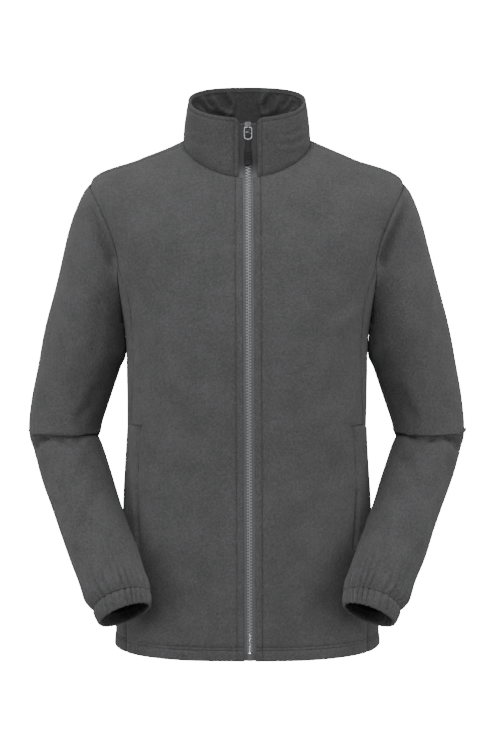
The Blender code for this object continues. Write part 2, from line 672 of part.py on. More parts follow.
def make_slider():
    """The slider: two plates joined by a neck, and the bridge that holds the loop."""
    axes = zip_axes(SLIDER_Z)
    length = SLIDER_HALF_LENGTH
    plate = both_sides([(SLIDER_TOP / 2 - 0.0012, -length), (SLIDER_TOP / 2, -length + 0.0012),
                        (SLIDER_TOP / 2, -0.0015), (SLIDER_FOOT / 2, 0.0020),
                        (SLIDER_FOOT / 2, length - 0.0008), (SLIDER_FOOT / 2 - 0.0008, length)])
    face = -CHAIN_DEPTH + PLATE_GAP
    rear = -CHAIN_DEPTH - CHAIN_THICK - PLATE_GAP
    slider = prism("zip_slider", axes, plate, face, face + SLIDER_PLATE, "slider_metal")
    back = prism("slider_back_plate", axes, plate, rear - SLIDER_PLATE, rear, "slider_metal")
    neck = prism("slider_neck", axes,
                 box_outline(SLIDER_NECK / 2, -length + 0.0004, -length + SLIDER_NECK_LENGTH),
                 rear - SLIDER_PLATE / 2, face + SLIDER_PLATE / 2, "slider_metal")
    top = BRIDGE_UNDER + BRIDGE_BAR
    foot = face + SLIDER_PLATE / 2
    end, inner = BRIDGE_HALF_LENGTH, BRIDGE_HALF_LENGTH - BRIDGE_BAR
    staple = [(-end, foot), (-end, top - 0.0008), (-inner, top), (inner, top), (end, top - 0.0008),
              (end, foot), (inner, foot), (inner, BRIDGE_UNDER), (-inner, BRIDGE_UNDER),
              (-inner, foot)]
    bridge = prism("slider_bridge", axes, staple, -BRIDGE_WIDTH / 2, BRIDGE_WIDTH / 2,
                   "slider_metal", seen_from_side=True)
    combine(slider, (back, neck, bridge), "UNION")


def corner_arc(across, down, radius, start):
    """Points of a quarter round about a middle, from a start angle in degrees."""
    turns = np.radians(np.linspace(start, start + 90, 6))
    return [(across + radius * math.cos(t), down + radius * math.sin(t)) for t in turns]


def pull_loop(name, radius):
    """The round bar bent into a closed loop, whose straight top is the hinge pin."""
    place, down, out = zip_axes(SLIDER_Z)
    pin = place + PIN_DOWN * down + PIN_OUT * out
    wide, foot = LOOP_HALF_WIDTH, LOOP_LENGTH
    top, low = LOOP_TOP_ROUND, LOOP_FOOT_ROUND
    route = np.array(corner_arc(wide - low, foot - low, low, 0)
                     + corner_arc(-wide + low, foot - low, low, 90)
                     + corner_arc(-wide + top, top, top, 180)
                     + corner_arc(wide - top, top, top, 270))
    centres = pin + route[:, :1] * np.array([1.0, 0, 0]) + route[:, 1:] * down
    run = unit(np.roll(centres, -1, axis=0) - np.roll(centres, 1, axis=0))
    side = np.cross(run, out)
    made = bmesh.new()
    rings = [[made.verts.new(c + radius * (math.cos(t) * s + math.sin(t) * out))
              for t in np.radians(np.arange(0, 360, 360 / LOOP_SIDES))]
             for c, s in zip(centres, side)]
    for k, ring in enumerate(rings):
        after = rings[(k + 1) % len(rings)]
        for j in range(LOOP_SIDES):
            n = (j + 1) % LOOP_SIDES
            made.faces.new((ring[j], ring[n], after[n], after[j]))
    bmesh.ops.recalc_face_normals(made, faces=made.faces)
    if made.calc_volume(signed=True) < 0:
        bmesh.ops.reverse_faces(made, faces=made.faces)
    return new_object(name, made, "slider_metal")


def make_pull():
    """The metal loop and the moulded puller that grips its lower end."""
    pull_loop("pull_loop", LOOP_BAR)
    place, down, out = zip_axes(SLIDER_Z)
    axes = (place + PIN_DOWN * down + PIN_OUT * out, down, out)
    puller = prism("puller", axes, both_sides(PULLER_OUTLINE), -PULLER_THICK / 2,
                   PULLER_THICK / 2, "puller_plastic")
    combine(puller, (pull_loop("loop_seat", LOOP_BAR + SEAM_GAP),), "DIFFERENCE")


def make_zip():
    """Tapes and rows of teeth of the closed zip, and the box at its foot."""
    rim = COLLAR_LOOPS[-1][4] - RIM_CORNER_DROP
    hem = BODY_LOOPS[-1][4] + ZIP_FOOT
    chain_top = SLIDER_Z + SLIDER_HALF_LENGTH - SLIDER_NECK_LENGTH - 0.0012
    chain_foot = hem + BOX_HEIGHT + SEAM_GAP
    for hand, side in ((1, "left"), (-1, "right")):
        strip("zip_tape_" + side, "tape", (rim, hem), (TAPE_INNER, TAPE_OUTER),
              (TAPE_DEPTH, TAPE_DEPTH + TAPE_THICK), hand, under_hem=HEM_FOLD - FLEECE)
        strip("zip_chain_" + side, "teeth", (chain_top, chain_foot),
              (CHAIN_INNER, CHAIN_OUTER), (CHAIN_DEPTH, CHAIN_DEPTH + CHAIN_THICK), hand)
    axes = zip_axes(hem + BOX_HEIGHT / 2)
    half = BOX_HEIGHT / 2
    box = prism("zip_box", axes, box_outline(BOX_HALF_WIDTH, -half, half),
                -BOX_FRONT - BOX_FACE, -BOX_FRONT, "teeth")
    core = prism("zip_box_core", axes, box_outline(BOX_CORE, -half, half),
                 -BOX_FRONT - BOX_THICK, -BOX_FRONT - BOX_FACE / 2, "teeth")
    combine(box, (core,), "UNION")


if __name__ == "__main__":
    for item in list(bpy.data.objects):
        bpy.data.objects.remove(item, do_unlink=True)
    make_fronts()
    make_back()
    make_sides()
    make_pocket_bags()
    make_sleeves()
    make_cuffs()
    make_collar()
    make_zip()
    make_slider()
    make_pull()
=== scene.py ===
"""Looks of the fleece zip jacket: fine shells of cloth, sewing, zip and studio stage.

Metres, +Z up, the front faces -Y and the wearer's left arm is at +X.  Every shell follows the
form of the solid that it stands for, from the same loops and rings, at a finer spacing.
"""
import math

import bmesh
import bpy
import numpy as np
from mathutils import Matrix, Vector


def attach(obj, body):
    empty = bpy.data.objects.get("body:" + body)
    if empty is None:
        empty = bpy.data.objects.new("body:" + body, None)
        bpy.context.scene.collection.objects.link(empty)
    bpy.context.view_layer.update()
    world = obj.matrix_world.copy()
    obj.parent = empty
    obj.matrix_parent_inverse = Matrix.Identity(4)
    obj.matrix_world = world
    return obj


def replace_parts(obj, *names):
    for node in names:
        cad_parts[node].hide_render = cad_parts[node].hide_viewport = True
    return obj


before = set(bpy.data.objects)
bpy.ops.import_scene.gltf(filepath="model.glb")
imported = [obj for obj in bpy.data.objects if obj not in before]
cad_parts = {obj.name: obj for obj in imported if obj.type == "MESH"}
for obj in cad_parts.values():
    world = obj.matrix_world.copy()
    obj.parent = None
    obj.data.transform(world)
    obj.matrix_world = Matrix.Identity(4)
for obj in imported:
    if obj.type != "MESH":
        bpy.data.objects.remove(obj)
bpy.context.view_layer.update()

bl_info = {
    "name": "Fleece zip jacket",
    "version": (1, 0, 0),
    "blender": (4, 5, 0),
    "location": "3D View > Sidebar > Jacket",
    "description": "Dresses the jacket with cloth, sewing, zip and a plain studio stage",
    "category": "Object",
}

# Cloth
FLEECE = 0.0022
HEM_FOLD = 0.0036
COLLAR_CLOTH = 0.0046
CASING = 0.0032
BAG_CLOTH = 0.0010
BAG_GAP = 0.0003
SWELL = 0.0012              # height of the cloth's soft unevenness

# Units, and the direction towards the wearer's left
MM = 0.001
ACROSS = np.array([1.0, 0, 0])
LOOP_COLUMNS = ("half_width", "front", "back", "side_z", "front_z", "back_z", "fullness")
LOOP_UNITS = [MM] * 6 + [1.0]


def table(*rows, units=MM):
    """A table given in millimetres, or with a unit for each column, as an array in metres."""
    return np.array(rows) * units


# Loops round the body, from the neck seam down to the hem, and round the collar up to its rim
BODY_LOOPS = table(
    (89.6, 88, 72, 0, -49.5, 12, 2),                # 0 neck seam
    (150, 106, 90, -23.5, -96, -50, 2.05),          # 1 yoke
    (220.6, 120, 101, -57, -150, -101, 2.15),       # 2 shoulder points
    (197, 129, 108, -150, -205, -165, 2.3),         # 3 across the chest
    (172, 134, 110, -250, -262, -252, 2.5),         # 4 under the arm
    (168, 132, 105, -330, -332, -330, 2.6),         # 5 ribs
    (168, 129, 101, -430, -432, -430, 2.6),         # 6 waist
    (176.5, 130, 107, -560, -564, -562, 2.6),       # 7 hip
    (186.2, 134, 112, -698, -705.5, -705, 2.8),     # 8 hem
    units=LOOP_UNITS)
COLLAR_LOOPS = table(
    (89.6, 88, 72, 0, -49.5, 12, 2),                # 0 neck seam
    (86.2, 79, 73, 31, -9, 46.5, 2.15),             # 1 middle
    (82, 70, 71.5, 61, 32.5, 82.5, 2.35),           # 2 rim
    units=LOOP_UNITS)
HEM_LEVEL, CHEST_LEVEL, SHOULDER_LEVEL, RIM_LEVEL = 8, 3, 2, 2
HEM_FOLD_LEVEL = 7.85
BODY_DEPTH_CENTRE = 0.004
RIM_CORNER = 0.0090
RIM_CORNER_DROP = 0.0060
NECK_BLEND = (0.25, 0.16)   # levels over which collar and body share their facing
SHOULDER_ANGLE = -4.0
ARMHOLE_REACH = 25.0
ARMHOLE_SWELL = 0.5
SIDE_SEAM = (               # level on the body, distance of the side seams from the middle
    (3.5, 0.1640), (4.0, 0.1590), (5.0, 0.1580), (5.5, 0.1605),
    (6.0, 0.1640), (6.5, 0.1675), (7.0, 0.1685), (8.0, 0.1672))

# Sleeve rings from the armhole down to the cuff seam, then the cuff's own
RING_COLUMNS = ("outer_x", "outer_z", "inner_x", "inner_z", "centre_y", "half_depth", "fold")
ARM_RINGS = table(
    (220.6, -57, 172, -250, -6, 56, 0),             # 0 armhole
    (228.8, -70, 173, -262, -2, 58.5, 0),           # 1 cap
    (244, -108, 172.2, -274, 2, 62, 0),             # 2
    (260, -167, 171, -286, 5, 65, 0),               # 3
    (274, -220, 170.1, -298.5, 7.5, 65.5, 0),       # 4 upper arm
    (285.5, -268, 176.8, -312.5, 9.5, 64.5, 0),     # 5
    (294, -313, 184.8, -335, 11, 62.5, 0),          # 6
    (301, -350, 193.6, -362, 12, 60, 0),            # 7
    (305.4, -382, 202.2, -388, 12, 59, 0),          # 8 above the elbow
    (306.4, -400, 205.6, -403, 12, 58.5, 0),        # 9 lip of the fold
    (305.6, -411.5, 209, -408.5, 9.5, 56, 15),      # 10 fold
    (303, -421.5, 205, -416, 5, 56.5, 4),           # 11 below the fold
    (296.5, -438, 199.2, -430, -2, 56, 0),          # 12
    (285.8, -467, 189.5, -457, -18, 53, 0),         # 13 forearm
    (270, -507, 177, -492, -40, 49, 0),             # 14
    (255, -543, 164, -524, -64, 45, 0),             # 15
    (240, -579, 150, -556, -90, 40, 0),             # 16
    (227, -605, 139.5, -584, -112, 36, 0),          # 17
    (216.5, -627, 132.5, -601, -127, 33, 0),        # 18 blouses over the cuff
    (206.4, -634.5, 131.3, -609, -135, 28.2, 0),    # 19 cuff seam
    (204, -640, 130.6, -614, -139, 27.5, 0),        # middle of the casing
    (198.5, -652.5, 130, -625, -148, 22.2, 0),      # mouth
)
CUFF_SEAM = 19
CAP_RINGS = 4
UNDERARM_TURN = 186.0
SEAM_REACH = 0.012          # the sleeve shares the body's form this near the armhole seam
CALM_REACH = 0.010          # no crease of the body is cut by a seam this near the armhole
BODY_CLEARANCE = 0.0003
TOUCH_REACH = 0.06
TOUCH_PULL = 0.03
GATHERS = 26
GATHER_HEIGHT = 0.0046
GATHER_AT, GATHER_SHARE = (15.7, 16.9, 17.8, 19.0), (0.0, 0.45, 1.0, 0.7)
CUFF_SHARE = (0.7, 0.75, 0.35)
LIP_Z = -0.3972
LIP_FALL = np.array([0.0, -0.0016, -0.0080])    # how far the lip comes out and sinks
LIP_WAVES = ((0.0009, 0.0080, 0.8), (0.0004, 0.0043, 1.0))  # height, length, start
LIP_ABOVE, LIP_BELOW = 0.0085, 0.0034       # how far the sinking reaches
LIP_DEPTH = 0.030

# Spacing of the fine grids: fixed distances from an edge, then even steps
STEP = 0.0034
COLLAR_STEP = 0.0022
CUFF_STEP = 0.0012
FOLD_STEP = 0.0008
FOLD_STRETCH = (8.3, 11.4)
SLEEVE_COLUMNS = 208
CUFF_COLUMNS = 260
DENSE = 120
EDGE = (0.0, 0.00012, 0.00045, 0.0011, 0.0022)
CUFF_EDGE, COLLAR_EDGE = 1.45, 2.2          # the same edge on thicker cloth, as shares of it
FREE_EDGE = (0.0,)

# Sewing
ZIP_STITCH = 0.0098
HEM_STITCHES = (0.0148, 0.0190)
POCKET_STITCH = 0.0395
POCKET_HEIGHTS = (-0.5600, -0.3885)
POCKET_END = 0.004          # the mouth closes over this height
WELT = (0.0026, 0.0055)     # height and width of the roll along the pocket's mouth
WELT_STEP = (0.0020, 0.0030)                # the cloth stands higher up to the stitching
ZIP_ROLL = (0.0008, 0.004)  # height and width of the roll along the zip
BAG_LEVELS = (5.5, 7.5)
BAG_WIDTH = 0.105
RIM_STITCH = 0.0062
COLLAR_STITCH = 0.0066
THREAD_BAND = (-0.0011, -0.0005, 0.0, 0.0005, 0.0011)
STITCH_LENGTH = 0.0025
THREAD = 0.00030
TACK_PITCH = 0.0014
TACK_THREAD = 0.00042

# Creases, in millimetres, seen from the front (-1) or the back (1), x outward on either side:
# face, depth of the trough (below 0) or height of the ridge, height of the ridge beside it
# (above 0 on the left hand of the path, below 0 on the right), width, share on the wearer's
# left and right, then the path's x and z in turn.  The sleeves' first row is the armpit fold.
CREASE_FADE = 0.22          # share of its length over which a crease begins and ends
CREASE_TURN = 0.020         # depth over which creases of one face give way to the other's
RIDGE_OFF, RIDGE_WIDTH = 1.9, 1.1           # of the ridge beside a trough, in its widths
SLEEVE_CREASES = (
    (-1, -8.5, -3, 5.8, 1, 0.9, 222, -86, 211, -107, 199, -130, 189, -152, 181, -180),
    (-1, -8, 0, 5.2, 1, 0.9, 210, -406, 232, -406.2, 256, -407, 281, -407, 300, -420),
    (-1, -9, 0, 6.2, 1, 0.9, 276, -406.5, 287, -410.5, 295, -419, 302, -433),
    (-1, -6, 0, 5.2, 1, 0.75, 266, -408.5, 252, -412, 238, -413.5, 220, -410.5),
    (-1, -2.4, 1.2, 11, 1, 0.7, 262, -170, 268, -240, 286, -330),
    (-1, 2.2, 0, 13, 0.8, 1, 235, -180, 236, -250, 250, -340),
    (-1, -2, 0, 10, 0.8, 1, 200, -200, 203, -255, 212, -310),
    (-1, -2.4, 1.4, 7.5, 0.9, 1, 205, -330, 216, -365, 240, -388),
    (-1, -1.8, 0, 8, 1, 0.6, 262, -350, 278, -368, 296, -372),
    (-1, -2.4, 1.4, 8.5, 1, 0.7, 206, -428, 224, -450, 236, -480),
    (-1, -2.2, 1.2, 8.5, 0.7, 1, 286, -436, 272, -462, 248, -486),
    (-1, -2.6, 1.2, 9.5, 0.8, 1, 200, -470, 216, -510, 212, -555),
    (-1, 2.2, 0, 12, 1, 0.8, 268, -450, 252, -500, 226, -560),
    (-1, -2.2, 1.2, 7, 1, 0.8, 178, -520, 188, -556, 184, -592),
    (-1, -2, 0, 6.5, 0.8, 1, 236, -548, 222, -580, 204, -606),
    (1, -2.6, 1.2, 10, 1, 0.8, 215, -150, 222, -220, 242, -300),
    (1, 2, 0, 12, 0.8, 1, 252, -180, 262, -250, 276, -330),
    (1, -3.2, 1.6, 8, 1, 0.8, 206, -385, 232, -375, 262, -382),
    (1, -3, 1.4, 8, 0.8, 1, 204, -425, 228, -436, 258, -434),
    (1, -2.4, 0, 10, 1, 0.7, 232, -460, 222, -510, 198, -560),
)
BODY_CREASES = (
    (-1, 2.2, 0, 6.5, 1, 0.8, 176, -165, 160, -215, 152, -290),
    (-1, -2.4, 1.4, 9, 1, 0.7, 168, -185, 140, -222, 100, -246),
    (-1, -1.8, 0, 12, 0.7, 1, 160, -300, 125, -345, 80, -370),
    (-1, -1.8, 1, 14, 1, 0.7, 150, -430, 110, -452, 50, -455),
    (-1, -1.6, 0, 13, 0.7, 1, 140, -372, 90, -398, 40, -402),
    (-1, 1.8, 0, 14, 0.7, 1, 110, -480, 95, -560, 100, -640),
    (-1, -1.6, 0, 12, 1, 0.8, 45, -85, 85, -110, 130, -120),
    (-1, -1.4, 0, 12, 0.8, 1, 120, -135, 85, -180, 50, -210),
    (-1, -1.6, 0.8, 14, 0.8, 1, 55, -520, 60, -600, 50, -680),
    (-1, -1.4, 0, 12, 1, 0.8, 142, -560, 132, -620, 138, -685),
    (1, -2.4, 1.2, 10, 1, 0.7, 180, -150, 150, -205, 110, -240),
    (1, -2.2, 0, 12, 0.8, 1, 160, -240, 135, -300, 125, -370),
    (1, 2, 0, 14, 1, 0.8, 90, -120, 85, -200, 95, -280),
    (1, -2.6, 1.4, 9, 1, 0.9, 150, -400, 90, -418, 20, -412),
    (1, -2, 0, 11, 0.7, 1, 155, -460, 100, -470, 40, -462),
    (1, -1.8, 0, 14, 1, 0.8, 80, -500, 85, -580, 75, -670),
)
COLLAR_CREASES = (
    (-1, -1.7, 0.8, 2.8, 1, 0.5, 78, 20, 62, 10, 44, 8),
    (-1, -1.6, 0.8, 3, 1, 0.5, 80, 6, 64, -4, 40, -4),
    (-1, -1.1, 0, 3, 0.8, 0.4, 82, -10, 68, -18, 50, -16),
    (1, -4.8, 2.4, 4.2, 1, 0.8, 78, 56, 60, 36, 36, 30),
    (1, -4.4, 2, 4.4, 0.7, 1, 56, 72, 42, 50, 16, 40),
    (1, -4, 2, 4, 1, 0.8, 30, 78, 20, 58, 26, 36),
    (1, -3.6, 0, 4, 0.6, 1, 72, 70, 60, 54, 46, 46),
)

# Zip and pull
ZIP_OPENING = 0.0148
COLLAR_OPENING = 0.0252
ZIP_AT_NECK = 0.0015
ZIP_AT_HEM = 0.0042
ZIP_SMOOTHINGS = 12
TAPE_INNER = 0.00265
TAPE_OUTER = 0.0138
TAPE_UNDER_TEETH = 0.0006
TAPE_THICK = 0.0008
TAPE_BEAD = (TAPE_INNER + 0.0009, 0.0005, 0.0007)   # place, height, width of its corded edge
TAPE_DEPTH = FLEECE + 0.0009
CHAIN_THICK = 0.0026
CHAIN_DEPTH = 0.0016
SLIDER_Z = 0.0200
TEETH_TOP = 0.0224          # where the rows end between the slider's plates
BOX_HEIGHT = 0.0100
ZIP_FOOT = 0.0008
TOOTH_OUTLINE = (           # millimetres: across from the zip's middle, half height
    (-0.75, 0.45), (-0.55, 0.85), (-0.10, 1.00), (0.35, 0.85), (0.75, 0.58), (1.20, 0.62),
    (1.55, 1.00), (3.00, 1.10), (3.30, 0.85))
TOOTH_CORE = 0.0012         # a tooth narrows towards its faces round this line
TOOTH_LAYERS = ((-1, 0.82), (-0.72, 1.0), (0.72, 1.0), (1, 0.82))   # share of thickness, size
PIN_OUT = 0.0011
PIN_DOWN = 0.0024
LOOP_BAR = 0.00075
LOOP_HALF_WIDTH = 0.0051
LOOP_LENGTH = 0.0166
LOOP_TOP_ROUND = 0.0018
LOOP_FOOT_ROUND = 0.0046
LOOP_SIDES = 12
PULLER_THICK = 0.0034
PULLER_OUTLINE = (          # half width and distance below the pin
    (0.0030, 0.0076), (0.0032, 0.0150), (0.0035, 0.0195), (0.0035, 0.0296),
    (0.0051, 0.0322), (0.0053, 0.0480), (0.0044, 0.0524), (0.0025, 0.0536))
PULLER_RIBS = (0.0345, 0.0475, 0.0026)      # first, last, spacing below the pin
PULLER_RIB_HEIGHT = 0.00035
PULLER_TAB = (0.0172, 0.0192)               # the thin tab inside the loop ends between these
PULLER_SIDES = 28
PULLER_STEPS = 150
PULLER_SQUARENESS = 4.5     # 2 would be an oval
PULLER_END = 0.0014         # round of its ends

# Finishes of one kind, with their share of its colour: the collar and the inner faces take darker
# copies of the fleece as painted shade, and the retainer box is moulded in a darker grey
FLEECES = (("napped_fleece", 1.0), ("painted_shade_collar_fleece", 0.82), ("painted_shade_inner_fleece", 0.78))
MOULDED = (("moulded_teeth", 1.0), ("moulded_box", 0.38))


def mirrored(*half):
    """A closed outline from its half widths and distances."""
    return half + tuple((-width, down) for width, down in reversed(half))


# Blocks of slider and box, in millimetres: outline (across, down the zip), its two ends on the
# way out, round of its edges.  The slider's bridge is outlined (down, out) and carried across.
SLIDER_PLATE = mirrored((2.6, -6.4), (4.2, -5.8), (5.2, -4.0), (5.2, -1.0), (4.3, 2.2),
                        (4.1, 5.4), (3.0, 6.4))
SLIDER_FLANGE = ((5.2, -3.0), (5.2, -1.0), (4.3, 2.2), (4.1, 5.2), (3.4, 5.2), (3.6, 2.0),
                 (4.5, -1.2), (4.5, -3.0))
SLIDER_BRIDGE = ((-4.5, -0.7), (-4.3, 2.2), (-3.2, 3.4), (3.2, 3.4), (4.3, 2.2), (4.5, -0.7),
                 (3.4, -0.7), (3.2, 2.0), (2.6, 2.4), (-2.6, 2.4), (-3.2, 2.0), (-3.4, -0.7))
SLIDER_BLOCKS = (
    (SLIDER_PLATE, -1.3, -0.1, 0.35),
    (SLIDER_PLATE, -5.7, -4.5, 0.35),
    (mirrored((1.0, -6.0), (1.0, -3.6)), -5.1, -0.7, 0.2),
    (SLIDER_FLANGE, -2.0, -0.5, 0.2),
    (tuple((-across, down) for across, down in SLIDER_FLANGE), -2.0, -0.5, 0.2),
    (SLIDER_BRIDGE, -1.2, 1.2, 0.25, True))
BOX_BLOCKS = (
    (mirrored((3.0, -5.0), (3.4, -4.2), (3.4, 5.0)), -2.1, -0.7, 0.3),
    (mirrored((2.3, -5.0), (2.3, 5.0)), -4.7, -1.4, 0.2),
    (mirrored((2.2, -2.5), (2.2, -1.6)), -1.2, -0.4, 0.2),
    (mirrored((2.2, -0.3), (2.2, 0.6)), -1.2, -0.4, 0.2),
    (mirrored((2.2, 1.9), (2.2, 2.8)), -1.2, -0.4, 0.2))

# Stage
FLOOR_Z = -1.50
PAPER_GLOW = 20.0
KEY_LAMP = ((-0.35, -2.8, 1.85), 2.4)       # place, size
TOP_LAMP = ((0.0, -0.2, 2.3), 1.8)
SIDE_LAMP = ((2.4, -1.1, -0.4), 1.6)
CAMERA_DISTANCE = 3.3
CAMERA_ELEVATION = 3.0
CAMERA_TARGET = (0.0042, 0.0, -0.3234)
METRES_PER_PIXEL = 0.0014
PICTURE_HEIGHT = 750
SENSOR = 36.0


def smooth(at, knots, values):
    """Cubic through the knots, with slopes that are the mean of the chords on either side."""
    knots, values = np.asarray(knots, float), np.asarray(values, float)
    chords = np.diff(values) / np.diff(knots)
    slopes = np.concatenate(([chords[0]], (chords[:-1] + chords[1:]) / 2, [chords[-1]]))
    at = np.clip(at, knots[0], knots[-1])
    low = np.clip(np.searchsorted(knots, at, side="right") - 1, 0, len(knots) - 2)
    step = knots[low + 1] - knots[low]
    t = (at - knots[low]) / step
    start = (1 + 2 * t) * (1 - t) ** 2 * values[low] + t * (1 - t) ** 2 * step * slopes[low]
    return (start + t * t * (3 - 2 * t) * values[low + 1]
            - t * t * (1 - t) * step * slopes[low + 1])


def norm(vectors, **kind):
    """Lengths of vectors."""
    return np.linalg.norm(vectors, axis=-1, **kind)


def unit(vectors):
    """Vectors of length one."""
    return vectors / np.maximum(norm(vectors, keepdims=True), 1e-12)


def eased(share):
    """0 to 1 with soft ends."""
    share = np.clip(share, 0, 1)
    return share * share * (3 - 2 * share)


def power(base, exponent):
    """A power that keeps the sign."""
    return np.sign(base) * np.abs(base) ** exponent


def run_along(points, axis=0):
    """Distances along lines of points, from their start."""
    steps = norm(np.diff(points, axis=axis))
    return np.insert(np.cumsum(steps, axis=axis), 0, 0, axis=axis)


def along_line(where, run, values):
    """Values at given distances along a line."""
    return np.stack([np.interp(where, run, part) for part in values.T], axis=-1)


def loop_value(loops, level, name):
    """One column of a table of loops at a level between its rows."""
    return smooth(level, range(len(loops)), loops[:, LOOP_COLUMNS.index(name)])


def form(loops, angle, level):
    """Points of a lofted form: -90 degrees is centre front, 0 the side, 90 centre back."""
    angle, level = np.broadcast_arrays(np.radians(angle), np.asarray(level, float))
    half_width, front, back, side_z, front_z, back_z, fullness = (
        loop_value(loops, level, name) for name in LOOP_COLUMNS)
    x = half_width * power(np.cos(angle), 2 / fullness)
    along = power(np.sin(angle), 2 / fullness)
    y = BODY_DEPTH_CENTRE + np.where(along < 0, front, back) * along
    z = (side_z + (back_z - front_z) / 2 * along
         + ((back_z + front_z) / 2 - side_z) * along ** 2)
    return np.stack([x, y, z], axis=-1)


def form_normal(loops, angle, level):
    """Outward normals of a lofted form, shared by body and collar along the neck seam."""
    own = lone_normal(loops, angle, level)
    other = COLLAR_LOOPS if loops is BODY_LOOPS else BODY_LOOPS
    shared = unit(lone_normal(loops, angle, 0.0) + lone_normal(other, angle, 0.0))
    near = eased(1 - np.asarray(level, float) / NECK_BLEND[loops is BODY_LOOPS])
    return unit(own + np.asarray(near)[..., None] * (shared - own))


def lone_normal(loops, angle, level):
    """Outward normals of one form by itself."""
    turn, rise = 0.4, 0.02
    angle, level = np.broadcast_arrays(np.asarray(angle, float), np.asarray(level, float))
    top = len(loops) - 1
    round_it = form(loops, angle + turn, level) - form(loops, angle - turn, level)
    down_it = (form(loops, angle, np.clip(level + rise, 0, top))
               - form(loops, angle, np.clip(level - rise, 0, top)))
    return unit(np.cross(down_it, round_it)) * (-1 if loops is COLLAR_LOOPS else 1)


def angle_at(loops, level, x, side):
    """Angle at which a loop is x from the middle, in front (side -1) or behind (side 1)."""
    share = x / loop_value(loops, level, "half_width")
    return side * np.degrees(np.arccos(share ** (loop_value(loops, level, "fullness") / 2)))


def zip_middle(z):
    """Where the zip's centre line lies across the front, at a height."""
    neck, hem = BODY_LOOPS[0][4], BODY_LOOPS[-1][4]
    return ZIP_AT_NECK + (ZIP_AT_HEM - ZIP_AT_NECK) * np.clip((neck - z) / (neck - hem), 0, 1)


def armhole(turn):
    """Angle and level of the armhole seam: turn 0 is the shoulder point, 90 in front."""
    turn = np.radians(turn)
    reach = ARMHOLE_REACH * np.abs(np.sin(turn)) ** 0.8 * (1 + ARMHOLE_SWELL * np.cos(turn))
    angle = SHOULDER_ANGLE * (1 + np.cos(turn)) / 2 - np.sign(np.sin(turn)) * reach
    return angle, SHOULDER_LEVEL + 1 - np.cos(turn)


def side_seam_angle(level, side):
    """Angle of the front (side -1) or back (side 1) edge of the side panels."""
    levels, offs = zip(*SIDE_SEAM)
    at_armhole = form(BODY_LOOPS, armhole(180 + 90 * side)[0], CHEST_LEVEL)[0]
    distance = smooth(level, (CHEST_LEVEL,) + levels, (at_armhole,) + offs)
    half_width = loop_value(BODY_LOOPS, level, "half_width")
    return angle_at(BODY_LOOPS, level, np.minimum(distance, half_width * 0.999), side)


def coons(bottom, top, left, right):
    """Fill four edges given as (angle, level) rows; left and right run from bottom to top."""
    s = np.linspace(0, 1, len(bottom))[None, :, None]
    t = np.linspace(0, 1, len(left))[:, None, None]
    return ((1 - t) * bottom[None] + t * top[None]
            + (1 - s) * left[:, None] + s * right[:, None]
            - (1 - s) * (1 - t) * bottom[0] - s * (1 - t) * bottom[-1]
            - (1 - s) * t * top[0] - s * t * top[-1])


def half_grid(side, centre_x, near, far):
    """Rows of (angle, level) of a front (side -1) or half a back (side 1), hem row first."""
    s = np.linspace(0, 1, DENSE + 1)
    levels = np.linspace(HEM_LEVEL, CHEST_LEVEL, DENSE + 1)
    centre = angle_at(BODY_LOOPS, levels, centre_x(levels), side)[:, None]
    outer = side_seam_angle(levels, side)[:, None]
    lower = np.stack([centre + (outer - centre) * s, levels[:, None] + 0 * s], axis=-1)
    half = DENSE // 2
    turns = np.linspace(90, 0, half + 1) if side < 0 else np.linspace(270, 360, half + 1)
    rise = np.linspace(CHEST_LEVEL, 0, half + 1)
    left = np.stack([angle_at(BODY_LOOPS, rise, centre_x(rise), side), rise], axis=-1)
    to_shoulder = np.clip(2 * s, 0, 1)
    top = np.stack([left[-1, 0] + (SHOULDER_ANGLE - left[-1, 0]) * to_shoulder,
                    SHOULDER_LEVEL * np.clip(2 * s - 1, 0, 1)], axis=-1)
    upper = coons(lower[-1], top, left, np.stack(armhole(turns), axis=-1))
    dense = np.concatenate([lower, upper[1:]])
    inner = respaced(dense[:, :half + 1], near, FREE_EDGE)
    return np.concatenate([inner, respaced(dense[:, half:], FREE_EDGE, far)[:, 1:]], axis=1)


def side_grid():
    """Rows of (angle, level) of a side panel, hem row first, from front to back edge."""
    s = np.linspace(0, 1, DENSE + 1)
    top = np.stack(armhole(np.linspace(90, 270, DENSE + 1)), axis=-1)
    rows = []
    for up in s:
        level = HEM_LEVEL + (CHEST_LEVEL - HEM_LEVEL) * up
        front, back = side_seam_angle(level, -1), side_seam_angle(level, 1)
        bow = top[:, 0] - (top[0, 0] * (1 - s) + top[-1, 0] * s)
        rows.append(np.stack([front * (1 - s) + back * s + bow * up ** 3,
                              HEM_LEVEL + (top[:, 1] - HEM_LEVEL) * up], axis=-1))
    return respaced(np.array(rows), EDGE, EDGE)


def respaced(grid, near, far, loops=BODY_LOOPS, step=STEP):
    """Rows of (angle, level) with fixed distances from both ends and even steps between."""
    run = run_along(form(loops, grid[..., 0], grid[..., 1]), 1)
    near, far = np.array(near), np.array(far)
    middle = run[:, -1] - near[-1] - far[-1]
    even = np.linspace(0, 1, max(int(round(middle.mean() / step)), 2) + 1)[1:-1]
    return np.array([
        along_line(np.concatenate([near, near[-1] + between * even, along[-1] - far[::-1]]),
                   along, row)
        for row, along, between in zip(grid, run, middle)])


def respaced_down(grid, near, far, loops=BODY_LOOPS, step=STEP):
    """The same down the columns."""
    return respaced(grid.transpose(1, 0, 2), near, far, loops, step).transpose(1, 0, 2)


def near_lines(edge, *lines):
    """Distances from an edge that resolve its round and the thread lines beside it."""
    places = list(edge)
    for line in lines:
        gap = line + THREAD_BAND[0] - places[-1]
        if gap > STEP:
            extra = int(gap // STEP)
            places += [places[-1] + gap * (k + 1) / (extra + 1) for k in range(extra)]
        places += [line + off for off in THREAD_BAND if line + off > places[-1] + 0.0003]
    return places


